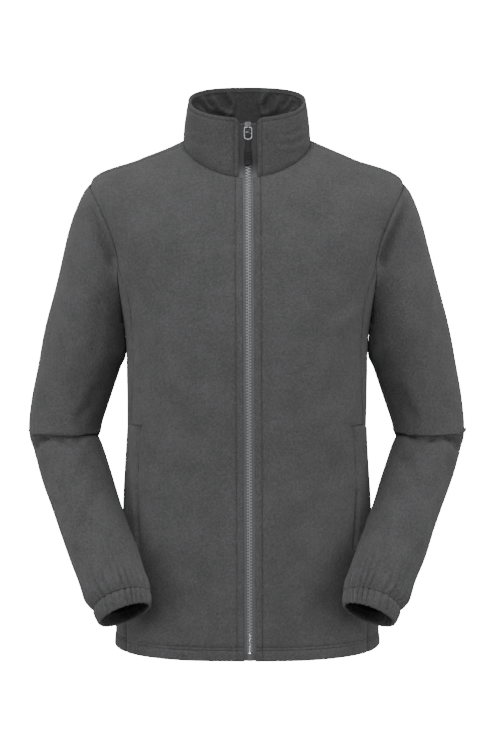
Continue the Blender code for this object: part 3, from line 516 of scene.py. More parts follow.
def laid_out(grid):
    """Points, normals and levels of a body panel, with fine rows at its hem."""
    grid = respaced_down(grid, near_lines(EDGE, *HEM_STITCHES), EDGE)
    angle, level = grid[..., 0], grid[..., 1]
    return form(BODY_LOOPS, angle, level), form_normal(BODY_LOOPS, angle, level), level


def distances(points, closed=False):
    """Distances of a grid's points from its first row, last row, left and right edge."""
    down = run_along(points)
    found = {"first": down, "last": down[-1:] - down}
    if not closed:
        across = run_along(points, 1)
        found.update(left=across, right=across[:, -1:] - across)
    return found


def bump(away, at, height, width):
    """A soft ridge, or a valley below 0, round a place."""
    return height * np.exp(-((away - at) / width) ** 2)


def groove(away, at, width=0.0011, depth=0.0011):
    """A thread line pulled into the cloth, at a distance from an edge."""
    return bump(away, at, -depth, width)


def seam_dip(away, *keys, deep=0.0018):
    """The valley that cloth makes along a sewn seam."""
    return sum(groove(away[key], 0.0, 0.0034, deep) for key in keys)


def hem_lines(away):
    """The two thread lines above the hem."""
    return sum(groove(away["first"], at) for at in HEM_STITCHES)


def waves(points, height, seed, hand=1):
    """Soft uneven swell of cloth, as a few long waves in fixed directions."""
    total = 0
    for k in range(5):
        way = np.array([math.cos(seed + 2.1 * k) * hand, math.sin(1.7 * seed + k),
                        math.cos(3.3 * k - seed)])
        length = 0.055 + 0.022 * k
        total = total + np.sin(points @ way * 2 * math.pi / length + seed * 5 + 1.9 * k)
    return height * total / 5


def crease_relief(points, rows, hand, middle_y=0.0):
    """Height of all the creases of a table over a grid of points on one hand or on both."""
    total = np.zeros(points.shape[:-1])
    flat = np.stack([np.abs(points[..., 0]), points[..., 2]], axis=-1)
    for face, depth, beside, width, left, right, *path in rows:
        near, signed, place = (np.full(total.shape, start) for start in (1e9, 0.0, 0.0))
        path = np.array(path).reshape(-1, 2) * MM
        lengths = norm(np.diff(path, axis=0))
        for k, length in enumerate(lengths):
            run = (path[k + 1] - path[k]) / length
            off = flat - path[k]
            along = np.clip(off @ run, 0, length)
            to = off - along[..., None] * run
            away = norm(to)
            closer = away < near
            near = np.where(closer, away, near)
            side = np.sign(to @ np.array([-run[1], run[0]]))
            signed = np.where(closer, side * away, signed)
            place = np.where(closer, (lengths[:k].sum() + along) / lengths.sum(), place)
        width = width * MM
        lift = bump(near, 0.0, depth, width)
        if beside:
            lift = lift + bump(signed * np.sign(beside), RIDGE_OFF * width, abs(beside),
                               RIDGE_WIDTH * width)
        shown = eased(0.5 + (points[..., 1] - middle_y) * face / CREASE_TURN)
        share = np.where(points[..., 0] * hand >= 0, left, right)
        fade = eased(place / CREASE_FADE) * eased((1 - place) / CREASE_FADE)
        total += share * fade * lift * shown
    return total * MM * bpy.context.scene.jacket_sizes.crease_share


def walls(index, closed=True):
    """Four-cornered faces between neighbouring rows of point numbers."""
    after = np.roll(index, -1, axis=-1)
    faces = np.stack([index[..., :-1, :], after[..., :-1, :], after[..., 1:, :],
                      index[..., 1:, :]], axis=-1)
    return (faces if closed else faces[..., :-1, :]).reshape(-1, 4)


def cap(ring):
    """Four-cornered faces across rings of an even number of points."""
    half = ring.shape[-1] // 2
    there, back = ring[..., :half], ring[..., :half - 1:-1]
    return np.stack([there[..., :-1], there[..., 1:], back[..., 1:], back[..., :-1]],
                    axis=-1).reshape(-1, 4)


def numbered(*shape):
    """Point numbers in the shape of a grid."""
    return np.arange(math.prod(shape)).reshape(shape)


def shell(node, outer, normal, thick, relief, closed=False, hand=1, finish="napped_fleece",
          slot="fleece", ending="_cloth"):
    """A closed thin wall of cloth behind an outer face, with rounded free edges."""
    thick = np.broadcast_to(thick, outer.shape[:2])
    half = thick / 2
    for away in distances(outer, closed).values():
        half = half * np.sqrt(1 - (1 - np.clip(away / (thick / 2), 0, 1)) ** 2)
    middle = outer + normal * (relief - thick / 2)[..., None]
    face, back = (middle + side * normal * half[..., None] for side in (1, -1))
    own = np.ones(thick.shape, bool)
    own[0] = own[-1] = False
    if not closed:
        own[:, 0] = own[:, -1] = False
    front_index = numbered(*thick.shape)
    back_index = front_index.copy()
    back_index[own] = own.size + np.arange(own.sum())
    mirror = np.array([hand, 1, 1])
    points = np.concatenate([face.reshape(-1, 3), back[own]]) * mirror
    quads = np.concatenate([walls(front_index, closed), walls(back_index, closed)[:, ::-1]])
    piece = mesh_object(node + ending, points, quads, finish)
    # Fleece pieces take a darker copy of the fleece on their inner faces: painted shade.
    if slot == "fleece":
        piece.data.materials.append(bpy.data.materials["painted_shade_inner_fleece"])
        piece.data.polygons.foreach_set("material_index",
                                        np.arange(len(quads)) * 2 // len(quads))
    worn(piece, slot, node)
    return face * mirror, normal * mirror


def mesh_object(name, points, faces, finish):
    """An object from points and four-cornered faces, turned so that the faces point out."""
    a, b, c, d = (points[faces[:, k]] for k in range(4))
    if (a * (np.cross(b, c) + np.cross(c, d))).sum() < 0:
        faces = faces[:, ::-1]
    mesh = bpy.data.meshes.new(name)
    mesh.from_pydata(points.tolist(), [], faces.tolist())
    mesh.shade_smooth()
    return placed(name, mesh, finish)


def placed(name, mesh, finish):
    """An object in the scene from a mesh, with its finish."""
    mesh.materials.append(bpy.data.materials[finish])
    thing = bpy.data.objects.new(name, mesh)
    bpy.context.scene.collection.objects.link(thing)
    return thing


def worn(piece, slot, *nodes):
    """The piece rides on the jacket and stands for nodes; its slot is not used."""
    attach(piece, "jacket")
    if nodes:
        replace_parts(piece, *nodes)


def resampled(points, normals, places):
    """Points, normals and directions at given distances along a line."""
    run = run_along(points)
    ahead = along_line(places + 0.0004, run, points) - along_line(places - 0.0004, run, points)
    return along_line(places, run, points), unit(along_line(places, run, normals)), unit(ahead)


def line_from(face, normal, away, edge, at, keep=None):
    """Points and normals of a line at a distance from one edge, within a range of heights."""
    away = away[edge]
    if edge in ("first", "last"):
        face, normal, away = (np.swapaxes(grid, 0, 1) for grid in (face, normal, away))
    if edge in ("last", "right"):
        face, normal, away = face[:, ::-1], normal[:, ::-1], away[:, ::-1]
    points, normals = (np.array([along_line(at, run, row) for run, row in zip(away, grid)])
                       for grid in (face, normal))
    if keep:
        inside = (points[:, 2] > keep[0]) & (points[:, 2] < keep[1])
        points, normals = points[inside], normals[inside]
    return points, unit(normals)


def stitching(name, lines, pitch=None, stitch=STITCH_LENGTH, thread=THREAD):
    """One piece of sewn thread: a short arched stitch for each pitch along every line."""
    points = []
    pitch = pitch or bpy.context.scene.jacket_sizes.stitch_pitch
    for line, normals in lines:
        length = run_along(line)[-1]
        number = max(int(length / pitch), 1)
        middles = (np.arange(number) + 0.5) * length / number
        offs = stitch * np.array([-0.5, -0.3, 0.3, 0.5])
        place, out, along = resampled(line, normals, middles[:, None] + offs)
        across = unit(np.cross(out, along))
        place = place + out * (thread * np.array([-1.0, 0.55, 0.55, -1.0]))[:, None]
        turns = np.radians([45, 135, 225, 315])[:, None]
        points.append(place[:, :, None] + thread * (np.cos(turns) * across[:, :, None]
                                                    + np.sin(turns) * out[:, :, None]))
    points = np.concatenate(points)
    index = numbered(*points.shape[:3])
    faces = np.concatenate([walls(index), index[:, 0, ::-1], index[:, 3]])
    worn(mesh_object(name, points.reshape(-1, 3), faces, "sewing_thread"), "fleece")


def body_relief(points, hand, creases=1.0):
    """Creases and soft swell of the body over a panel's grid, kept the same across its seams."""
    x, z = np.abs(points[..., 0]), points[..., 2]
    beside_arm = eased((z + 0.375) / 0.035) * eased((x - 0.138) / 0.02)
    return (1 - beside_arm * eased((-0.170 - z) / 0.05)) * (
        creases * crease_relief(points, BODY_CREASES, hand) + waves(points, SWELL, 1.3, hand))


def calm_armhole(level, seam):
    """Share of the creases that is left near the armhole: none at the seam."""
    return 1 - eased((CHEST_LEVEL + 0.2 - level) / 0.4) * (1 - eased(seam / CALM_REACH))


def hem_thickness(level):
    """Single cloth, thicker where the hem is turned up."""
    return FLEECE + (HEM_FOLD - FLEECE) * eased((level - HEM_FOLD_LEVEL + 0.02) / 0.03)


def pocket_window(z):
    """1 along the pocket's mouth, 0 above and below it."""
    foot, top = POCKET_HEIGHTS
    return eased((top - z) / POCKET_END) * eased((z - foot) / POCKET_END)


def front_piece(hand, name):
    """A front panel with its zip edge, hem and pocket mouth, and the bag behind it."""
    def edge(level):
        return ZIP_OPENING / 2 + hand * zip_middle(loop_value(BODY_LOOPS, level, "front_z"))
    outer, normal, level = laid_out(half_grid(-1, edge, near_lines(EDGE, ZIP_STITCH),
                                              near_lines(EDGE, POCKET_STITCH)))
    away = distances(outer)
    side = away["right"]
    relief = body_relief(outer, hand, calm_armhole(level, side))
    pocket = pocket_window(outer[..., 2])
    relief += groove(away["left"], ZIP_STITCH) + seam_dip(away, "last") + hem_lines(away)
    relief += seam_dip(away, "right") * (1 - pocket)
    relief += pocket * (bump(side, 0.0, *WELT) + groove(side, POCKET_STITCH, 0.0018, 0.0034)
                        + WELT_STEP[0] * eased((POCKET_STITCH - side) / WELT_STEP[1]))
    relief += bump(away["left"], ZIP_ROLL[1], *ZIP_ROLL)
    face, facing = shell(name, outer, normal, hem_thickness(level), relief, hand=hand)
    rows = np.nonzero((level[:, -1] > BAG_LEVELS[0]) & (level[:, -1] < BAG_LEVELS[1]))[0]
    part = np.ix_(rows[::2], np.nonzero(side[rows[0]] < BAG_WIDTH)[0])
    shell(name.replace("front", "pocket_bag"), (outer - normal * (FLEECE + BAG_GAP))[part],
          normal[part], BAG_CLOTH, relief[part], hand=hand, finish="bag_lining",
          slot="bag_cloth")
    lines = [("left", ZIP_STITCH)] + [("first", at) for at in HEM_STITCHES]
    lines += [("right", POCKET_STITCH, POCKET_HEIGHTS)]
    stitching(name + "_stitching", [line_from(face, facing, away, *line) for line in lines])
    tacks = [bar_tack(face, facing, side[0], z + off)
             for z in POCKET_HEIGHTS for off in (-0.0007, 0.0007)]
    stitching(name + "_bar_tacks", tacks, TACK_PITCH, TACK_PITCH, TACK_THREAD)


def bar_tack(face, facing, side, z):
    """A short line from the pocket's stitching to its edge, at one height."""
    columns = np.nonzero((side < POCKET_STITCH + 0.0005) & (side > 0.0025))[0]
    points, normals = (np.array([along_line(z, face[:, k, 2], grid[:, k]) for k in columns])
                       for grid in (face, facing))
    return points, unit(normals)


def panel(name, outer, normal, thick, relief, away, lines, **kind):
    """A panel with its topstitching, each line given by its edge and distance."""
    face, facing = shell(name, outer, normal, thick, relief, **kind)
    stitching(name + "_stitching", [line_from(face, facing, away, *line) for line in lines])


def back_piece(name):
    """The back panel, both halves in one."""
    outer, normal, level = laid_out(half_grid(1, np.zeros_like, FREE_EDGE, EDGE))
    normal[:, 0, 0] = outer[:, 0, 0] = 0
    outer, normal = (np.concatenate([half[:, :0:-1] * np.array([-1, 1, 1]), half], axis=1)
                     for half in (outer, unit(normal)))
    level = np.concatenate([level[:, :0:-1], level], axis=1)
    away = distances(outer)
    calm = calm_armhole(level, np.minimum(away["left"], away["right"]))
    relief = (body_relief(outer, 1, calm) + seam_dip(away, "last", "left", "right")
              + hem_lines(away))
    panel(name, outer, normal, hem_thickness(level), relief, away,
          [("first", at) for at in HEM_STITCHES])


def side_piece(hand, name):
    """An under-arm panel."""
    outer, normal, level = laid_out(side_grid())
    away = distances(outer)
    pocket = pocket_window(outer[..., 2])
    relief = (body_relief(outer, hand, eased(away["last"] / CALM_REACH)) + hem_lines(away)
              + seam_dip(away, "last", deep=0.0004) + seam_dip(away, "right")
              + seam_dip(away, "left") * (1 - pocket)
              + groove(away["left"], 0.0, 0.007, 0.0024) * pocket)
    panel(name, outer, normal, hem_thickness(level), relief, away,
          [("first", at) for at in HEM_STITCHES], hand=hand)


def ring_value(at, name):
    """One column of the arm's rings at a place between them."""
    return smooth(at, range(len(ARM_RINGS)), ARM_RINGS[:, RING_COLUMNS.index(name)])


def ring_centre(at):
    """Middle of a ring."""
    outer_x, outer_z, inner_x, inner_z, y = (ring_value(at, name) for name in RING_COLUMNS[:5])
    return np.array([(outer_x + inner_x) / 2, y, (outer_z + inner_z) / 2])


def ring_frame(at):
    """Centre of a ring, its unit directions outward, forward and along, and its half width."""
    along = unit(ring_centre(min(at + 0.5, len(ARM_RINGS) - 1)) - ring_centre(max(at - 0.5, 0)))
    outer_x, outer_z, inner_x, inner_z = (ring_value(at, name) for name in RING_COLUMNS[:4])
    across = np.array([outer_x - inner_x, 0.0, outer_z - inner_z])
    half_width = norm(across) / 2
    across = unit(across)
    forward = unit(np.cross(along, across))
    return ring_centre(at), across, forward, np.cross(across, forward), half_width


def sleeve_head(turn):
    """The armhole seam as seen in the frame of the sleeve's first ring, in shares of its size."""
    centre, across, forward, along, half_width = ring_frame(0)
    off = form(BODY_LOOPS, *armhole(turn)) - centre
    return off @ across / half_width, off @ forward / ring_value(0, "half_depth"), off @ along


def gather(turn, share):
    """Height of the cuff's uneven gathers round a ring: round ridges between sharp valleys."""
    turn = np.radians(turn)
    phase = turn * GATHERS / 2 + 0.80 * np.sin(3 * turn + 0.6) + 0.55 * np.sin(5 * turn + 2.0)
    uneven = (0.60 + 0.36 * np.sin(turn - 0.6) + 0.30 * np.sin(7 * turn)
              + 0.18 * np.sin(11 * turn))
    ridges = np.abs(np.cos(phase)) ** 0.6 - 0.62
    return GATHER_HEIGHT * share * np.maximum(uneven, 0.12) * ridges


def arm_ring(at, turn, gathered):
    """Points of one ring of sleeve or cuff; turn 0 is its outer end, 90 its front."""
    centre, across, forward, along, half_width = ring_frame(at)
    half_depth = ring_value(at, "half_depth")
    oval = eased(at / CAP_RINGS)
    head = sleeve_head(turn)
    cosine, sine = np.cos(np.radians(turn)), np.sin(np.radians(turn))
    swell = 1 + gather(turn, gathered) / half_depth
    a = half_width * ((1 - oval) * head[0] + oval * cosine) * swell
    b = (half_depth * ((1 - oval) * head[1] + oval * sine) * swell
         - ring_value(at, "fold") * np.maximum(sine, 0) ** 0.6)
    c = (1 - oval) * head[2]
    return centre + a[:, None] * across + b[:, None] * forward + c[:, None] * along


def arm_grid(start, end, edge, fine, fine_step, columns, gather_at, gather_share):
    """Rings of points of sleeve or cuff, with their places, distances and turns.

    The rings keep fixed distances from both ends and lie closer together in a fine stretch.
    """
    dense = np.linspace(start, end, 20 * (end - start) + 1)
    run = run_along(np.array([ring_centre(at) for at in dense]))
    inner = [edge[-1]]
    while inner[-1] < run[-1] - edge[-1] - STEP / 2:
        at = np.interp(inner[-1], run, dense)
        inner.append(inner[-1] + (fine_step if fine[0] < at < fine[1] else STEP))
    down = np.concatenate([edge, inner[1:-1], run[-1] - np.array(edge)[::-1]])
    places = np.interp(down, run, dense)
    turn = np.arange(columns) * 360 / columns
    outer = [arm_ring(at, turn, np.interp(at, gather_at, gather_share)) for at in places]
    return np.array(outer), places, down[:, None], turn


def clear_of_body(points, clearance):
    """Points pushed out to a clearance from the body, and where they lie against it, 0 to 1."""
    level = np.interp(-points[..., 2], -BODY_LOOPS[:, 3], range(len(BODY_LOOPS)))
    half_width, front, back, fullness = (
        loop_value(BODY_LOOPS, level, name)
        for name in ("half_width", "front", "back", "fullness"))
    depth = points[..., 1] - BODY_DEPTH_CENTRE
    reach = np.where(depth < 0, front, back) + clearance
    inside = (np.abs(points[..., 0] / (half_width + clearance)) ** fullness
              + np.abs(depth / reach) ** fullness)
    below_arm = points[..., 2] < ARM_RINGS[0, 3] - 0.002
    off = np.maximum(inside, 1) ** (1 / fullness) - 1
    held = eased(1.6 - off / TOUCH_PULL) * eased((points[..., 2] + 0.298) / 0.018)
    share = np.where(inside < 1, 1.0, held) * below_arm
    grow = 1 + share * (np.maximum(inside, 0.2) ** (-1 / fullness) - 1)
    moved = points.copy()
    moved[..., 0] *= grow
    moved[..., 1] = BODY_DEPTH_CENTRE + depth * grow
    return moved, eased(1 - off / TOUCH_REACH) * below_arm


def tube_normals(points):
    """Normals of a ring-shaped grid, pointing out of it."""
    round_it = np.roll(points, -1, axis=1) - np.roll(points, 1, axis=1)
    down_it = np.concatenate([points[3:4] - points[:1], points[2:] - points[:-2],
                              points[-1:] - points[-4:-3]])
    normal = unit(np.cross(round_it, down_it))
    away = points - points.mean(axis=1, keepdims=True)
    return normal * np.sign((normal * away).sum(axis=(1, 2), keepdims=True))


def drooped(points, hand):
    """The cloth above the elbow's fold sinks over it in front and makes an overhanging lip."""
    x, y, z = (points[..., k] for k in range(3))
    above = z - LIP_Z
    for height, length, start in LIP_WAVES:
        above = above - height * np.sin(x / length + start * hand)
    share = np.where(above > 0, np.exp(-(above / LIP_ABOVE) ** 2), eased(1 + above / LIP_BELOW))
    share = share * eased((y.mean(axis=1, keepdims=True) - y) / LIP_DEPTH)
    return points + share[..., None] * LIP_FALL


def sleeve_piece(hand, name):
    """A sleeve with the fold at the elbow and pleats above the cuff."""
    outer, places, run, turn = arm_grid(0, CUFF_SEAM, EDGE, FOLD_STRETCH, FOLD_STEP,
                                        SLEEVE_COLUMNS, GATHER_AT, GATHER_SHARE)
    below_seam = eased(run / SEAM_REACH)
    outer, touching = clear_of_body(outer, BODY_CLEARANCE * below_seam)
    middle_y = ring_value(places, "centre_y")[:, None]
    armpit, others = (crease_relief(outer, rows, hand, middle_y)
                      for rows in (SLEEVE_CREASES[:1], SLEEVE_CREASES[1:]))
    creased = below_seam * (1 - touching) * others + eased(run / 0.005) * armpit
    outer = drooped(outer + tube_normals(outer) * creased[..., None], hand)
    normal = tube_normals(outer)
    from_body = form_normal(BODY_LOOPS, *armhole(turn))[None]
    along_body = (normal * from_body).sum(axis=-1)
    share = eased(1 - run / SEAM_REACH) * eased(along_body / 0.4)
    normal = unit(normal + share[..., None] * (from_body - normal))
    away = distances(outer, True)
    dip = seam_dip(away, "first", deep=0.0012) * (1 - touching)
    relief = (waves(outer, SWELL, 1.3, hand) * (1 - touching * below_seam)
              + dip * eased((along_body + 0.2) / 0.4) * eased((-0.052 - outer[..., 2]) / 0.03)
              + seam_dip(away, "last", deep=0.0007) + underarm_seam(turn, outer))
    shell(name, outer, normal, FLEECE, relief, closed=True, hand=hand)


def underarm_seam(turn, outer):
    """The seam that runs down a sleeve, as a soft valley beside one column."""
    radius = norm(outer[:, 0] - outer.mean(axis=1))[:, None]
    off = (turn[None] - UNDERARM_TURN + 180) % 360 - 180
    return groove(np.radians(np.abs(off)) * radius, 0.0, 0.0022, 0.0007)


def cuff_piece(hand, name):
    """An elastic casing gathered all round, with a rounded mouth."""
    mouth = CUFF_SEAM + 2
    outer, _, run, _ = arm_grid(CUFF_SEAM, mouth, [CUFF_EDGE * place for place in EDGE],
                                (CUFF_SEAM, mouth), CUFF_STEP, CUFF_COLUMNS,
                                (CUFF_SEAM, CUFF_SEAM + 1, mouth), CUFF_SHARE)
    relief = 0.0010 * np.sin(math.pi * run / run[-1]) + groove(run, 0.0, 0.0022, 0.0005)
    shell(name, outer, tube_normals(outer), CASING, relief, closed=True, hand=hand)


def collar_edge_angle(level, hand):
    """Angle of the collar's front edge on one side."""
    z = loop_value(COLLAR_LOOPS, level, "front_z")
    return angle_at(COLLAR_LOOPS, level, COLLAR_OPENING / 2 + hand * zip_middle(z), -1)


def collar_piece(name):
    """The doubled stand-up collar, from one side of the zip round the back to the other."""
    levels = np.linspace(0, RIM_LEVEL, DENSE + 1)
    left, right = collar_edge_angle(levels, 1), 180 - collar_edge_angle(levels, -1)
    s = np.linspace(0, 1, 4 * DENSE + 1)
    dense = np.stack([left[:, None] + (right - left)[:, None] * s,
                      levels[:, None] + 0 * s], axis=-1)
    round_edge = [COLLAR_EDGE * place for place in EDGE]
    side = near_lines(round_edge, COLLAR_STITCH)
    grid = respaced(dense, side, side, COLLAR_LOOPS, COLLAR_STEP)
    grid = respaced_down(grid, EDGE, near_lines(round_edge, RIM_STITCH), COLLAR_LOOPS, COLLAR_STEP)
    angle, level = grid[..., 0], grid[..., 1]
    outer, normal = form(COLLAR_LOOPS, angle, level), form_normal(COLLAR_LOOPS, angle, level)
    away = distances(outer)
    off_edge = np.minimum(away["left"], away["right"]) / RIM_CORNER
    outer[..., 2] -= RIM_CORNER_DROP * np.clip(1 - off_edge, 0, 1) ** 2 * (level / RIM_LEVEL) ** 3
    thick = FLEECE + (COLLAR_CLOTH - FLEECE) * eased(away["first"] / 0.008)
    relief = (crease_relief(outer, COLLAR_CREASES, 1) + waves(outer, SWELL / 2, 0.4)
              + groove(away["left"], COLLAR_STITCH) + groove(away["right"], COLLAR_STITCH)
              + groove(away["last"], RIM_STITCH, 0.0011, 0.0009) + seam_dip(away, "first"))
    # The collar takes a darker copy of the fleece: painted shade.
    panel(name, outer, normal, thick, relief, away,
          [("last", RIM_STITCH), ("left", COLLAR_STITCH), ("right", COLLAR_STITCH)],
          finish="painted_shade_collar_fleece")


def zip_rows(offsets):
    """Rows of points and normals down the front at distances from the zip's middle, rim first."""
    collar = np.linspace(RIM_LEVEL, 0.2, 40)
    body = np.concatenate([np.linspace(0.0, 7.9, 238), np.linspace(7.904, HEM_LEVEL, 25)])
    points, normals = [], []
    for loops, levels in ((COLLAR_LOOPS, collar), (BODY_LOOPS, body)):
        for level in levels:
            x = zip_middle(loop_value(loops, level, "front_z")) + np.asarray(offsets)
            turned = np.stack([np.sign(x), np.ones(len(x)), np.ones(len(x))], axis=-1)
            angle = angle_at(loops, level, np.abs(x), -1)
            sunk = 0 if loops is COLLAR_LOOPS else np.clip((level - 7.5) / 0.5, 0, 1)
            normals.append(form_normal(loops, angle, level) * turned)
            points.append(form(loops, angle, level) * turned
                          - normals[-1] * sunk * (HEM_FOLD - FLEECE))
    points, normals = np.array(points), np.array(normals)
    for rows in (points, normals) * ZIP_SMOOTHINGS:
        rows[1:-1] = (rows[:-2] + 2 * rows[1:-1] + rows[2:]) / 4
    return points, unit(normals)


def zip_frames(top, foot, pitch):
    """Places down the zip's middle between two heights, with directions down it and out of it."""
    points, normals = (rows[:, 0] for rows in zip_rows([0.0]))
    run = run_along(points)
    start, end = (np.interp(-z, -points[:, 2], run) for z in (top, foot))
    place, out, down = resampled(points, normals * np.array([0, 1, 1]),
                                 np.arange(start, end, pitch))
    return place, down, unit(out - (out * down).sum(axis=-1, keepdims=True) * down)


def tape_piece(hand, name):
    """A woven zip tape behind a front edge, with a corded bead beside the teeth."""
    offsets = hand * np.append(TAPE_UNDER_TEETH, np.linspace(TAPE_INNER, TAPE_OUTER, 9))
    points, normals = zip_rows(offsets)
    z = points[:, 0, 2]
    inside = ((z < COLLAR_LOOPS[-1, 4] - RIM_CORNER_DROP)
              & (z > BODY_LOOPS[-1, 4] + ZIP_FOOT / 2))
    points, normals = points[inside], normals[inside]
    bead = bump(np.abs(offsets), *TAPE_BEAD)
    shell(name, points - normals * TAPE_DEPTH, normals, TAPE_THICK,
          bead + 0 * points[..., 0], finish="woven_tape", slot="tape", ending="_weave")


def teeth_piece(hand, name):
    """One row of moulded teeth, whose heads lock between those of the other row."""
    pitch = bpy.context.scene.jacket_sizes.tooth_pitch
    place, down, out = zip_frames(TEETH_TOP, BODY_LOOPS[-1, 4] + ZIP_FOOT + BOX_HEIGHT + 0.001,
                                  pitch)
    if hand < 0:
        place = place + down * pitch / 2
    half = CHAIN_THICK / 2
    middle = place - out * (CHAIN_DEPTH + half)
    across, up = (np.array(TOOTH_OUTLINE + TOOTH_OUTLINE[::-1]) * MM).T
    up[len(TOOTH_OUTLINE):] *= -1
    rings = np.array([[hand * (TOOTH_CORE + (across - TOOTH_CORE) * grow), up * grow,
                       up * 0 + high * half] for high, grow in TOOTH_LAYERS])
    a, d, o = (rings[:, k, :, None] for k in range(3))
    down, out = down[:, None, None], out[:, None, None]
    points = middle[:, None, None] + a * ACROSS + d * down + o * out
    index = numbered(*points.shape[:3])
    faces = np.concatenate([walls(index), cap(index[:, 0])[:, ::-1], cap(index[:, -1])])
    made = mesh_object(name + "_row", points.reshape(-1, 3), faces, "moulded_teeth")
    made.data.shade_flat()
    worn(made, "teeth", name)


def zip_axes(z):
    """Place on the zip's centre line at a height, and the directions down it and out of it."""
    loops = COLLAR_LOOPS if z > COLLAR_LOOPS[0, 4] else BODY_LOOPS
    levels = np.linspace(0, len(loops) - 1, 400)
    heights = loop_value(loops, levels, "front_z")
    order = np.argsort(heights)
    level = np.interp(z, heights[order], levels[order])
    out = unit(form_normal(loops, -90.0, level) * np.array([0, 1, 1]))
    return form(loops, -90.0, level) + zip_middle(z) * ACROSS, np.cross(ACROSS, out), out


def add_block(made, axes, outline, low, high, bevel, seen_from_side=False):
    """Add an outline (across, down), carried outward, or (down, out) carried across, rounded."""
    block = bmesh.new()
    ends = []
    for far in (low, high):
        points = [(far, u, v) if seen_from_side else (u, v, far) for u, v in outline]
        ends.append([block.verts.new(axes[0] + MM * (a * ACROSS + d * axes[1] + o * axes[2]))
                     for a, d, o in points])
        block.faces.new(ends[-1])
    for k in range(len(outline)):
        block.faces.new((ends[0][k - 1], ends[0][k], ends[1][k], ends[1][k - 1]))
    bmesh.ops.recalc_face_normals(block, faces=block.faces)
    sharp = [edge for edge in block.edges if edge.calc_face_angle(0) > math.radians(20)]
    bmesh.ops.bevel(block, geom=sharp, offset=bevel * MM, segments=3, profile=0.5,
                    affect="EDGES")
    mesh = bpy.data.meshes.new("block")
    block.to_mesh(mesh)
    block.free()
    made.from_mesh(mesh)
    bpy.data.meshes.remove(mesh)


def finished(name, made, finish):
    """An object in the scene from a bmesh, with its finish."""
    mesh = bpy.data.meshes.new(name)
    made.to_mesh(mesh)
    made.free()
    mesh.shade_smooth()
    mesh.set_sharp_from_angle(angle=math.radians(50))
    return placed(name, mesh, finish)


def moulding(name, z, blocks, finish, slot, node):
    """A small solid of rounded blocks, at a height on the zip's centre line."""
    made = bmesh.new()
    for block in blocks:
        add_block(made, zip_axes(z), *block)
    worn(finished(name, made, finish), slot, node)


def pull_axes():
    """The hinge pin's place and the directions down the zip and out of it."""
    place, down, out = zip_axes(SLIDER_Z)
    return place + PIN_DOWN * down + PIN_OUT * out, down, out


def loop_piece():
    """The polished round bar that links slider and puller."""
    pin, down, out = pull_axes()
    route = []
    for k, (hand, end) in enumerate(((1, 1), (-1, 1), (-1, 0), (1, 0))):
        radius = LOOP_FOOT_ROUND if end else LOOP_TOP_ROUND
        far = LOOP_LENGTH - radius if end else radius
        turns = np.radians(np.linspace(90 * k, 90 * k + 90, 9))
        route += [(hand * (LOOP_HALF_WIDTH - radius) + radius * math.cos(t),
                   far + radius * math.sin(t)) for t in turns]
    route = np.array(route)
    centres = pin + route[:, :1] * ACROSS + route[:, 1:] * down
    run = unit(np.roll(centres, -1, axis=0) - np.roll(centres, 1, axis=0))
    side = np.cross(run, out)
    turns = np.linspace(0, 2 * math.pi, LOOP_SIDES, endpoint=False)[:, None]
    points = centres[:, None] + LOOP_BAR * (np.cos(turns) * side[:, None] + np.sin(turns) * out)
    index = numbered(*points.shape[:2])
    faces = walls(np.vstack([index, index[:1]]))
    piece = mesh_object("pull_loop_bar", points.reshape(-1, 3), faces, "steel_wire")
    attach(piece, "pull")
    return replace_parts(piece, "pull_loop")


def puller_piece():
    """The moulded puller: a flat neck and a wider ribbed grip, rounded all round."""
    pin, down, out = pull_axes()
    widths, downs = zip(*PULLER_OUTLINE)
    first, last, spacing = PULLER_RIBS
    turns = np.linspace(0, 2 * math.pi, PULLER_SIDES, endpoint=False)
    across, high = (power(way(turns), 2 / PULLER_SQUARENESS)[:, None] for way in (np.cos, np.sin))
    rings = []
    for d in np.linspace(downs[0], downs[-1], PULLER_STEPS):
        end = min(d - downs[0], downs[-1] - d)
        round_end = math.sqrt(max(1 - (1 - min(end / PULLER_END, 1)) ** 2, 0.02))
        half_width = np.interp(d, downs, widths) * (0.7 + 0.3 * round_end)
        half_thick = (PULLER_THICK / 2 * round_end * (0.80 if d < 0.031 else 0.92)
                      * np.interp(d, PULLER_TAB, (0.30, 1.0)))
        if first < d < last:
            half_thick += PULLER_RIB_HEIGHT * math.cos((d - first) / spacing * 2 * math.pi)
        half_thick = min(half_thick, PULLER_THICK / 2)
        rings.append(pin + d * down + half_width * across * ACROSS + half_thick * high * out)
    points = np.array(rings)
    index = numbered(*points.shape[:2])
    faces = np.concatenate([walls(index), cap(index[0])[:, ::-1], cap(index[-1])])
    piece = mesh_object("puller_grip", points.reshape(-1, 3), faces, "black_plastic")
    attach(piece, "pull")
    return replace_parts(piece, "puller")


def two_ways(operation):
    """The methods for an arithmetic operator and for its reflected form."""
    def made(link, *values):
        return link.finish.node("ShaderNodeMath", {"operation": operation},
                                dict(enumerate(values)))
    return (lambda link, other: made(link, link, other),
            lambda link, other: made(link, other, link))


class Link:
    """A socket whose values take part in Python expressions."""

    def __init__(self, finish, socket):
        self.finish, self.socket = finish, socket

    __add__, __radd__ = two_ways("ADD")
    __sub__, __rsub__ = two_ways("SUBTRACT")
    __mul__, __rmul__ = two_ways("MULTIPLY")

    def between(self, low, high):
        """0 at low, 1 at high, and soft between them."""
        return self.finish.node("ShaderNodeMapRange", {"interpolation_type": "SMOOTHSTEP"},
                                {"Value": self, "From Min": low, "From Max": high})


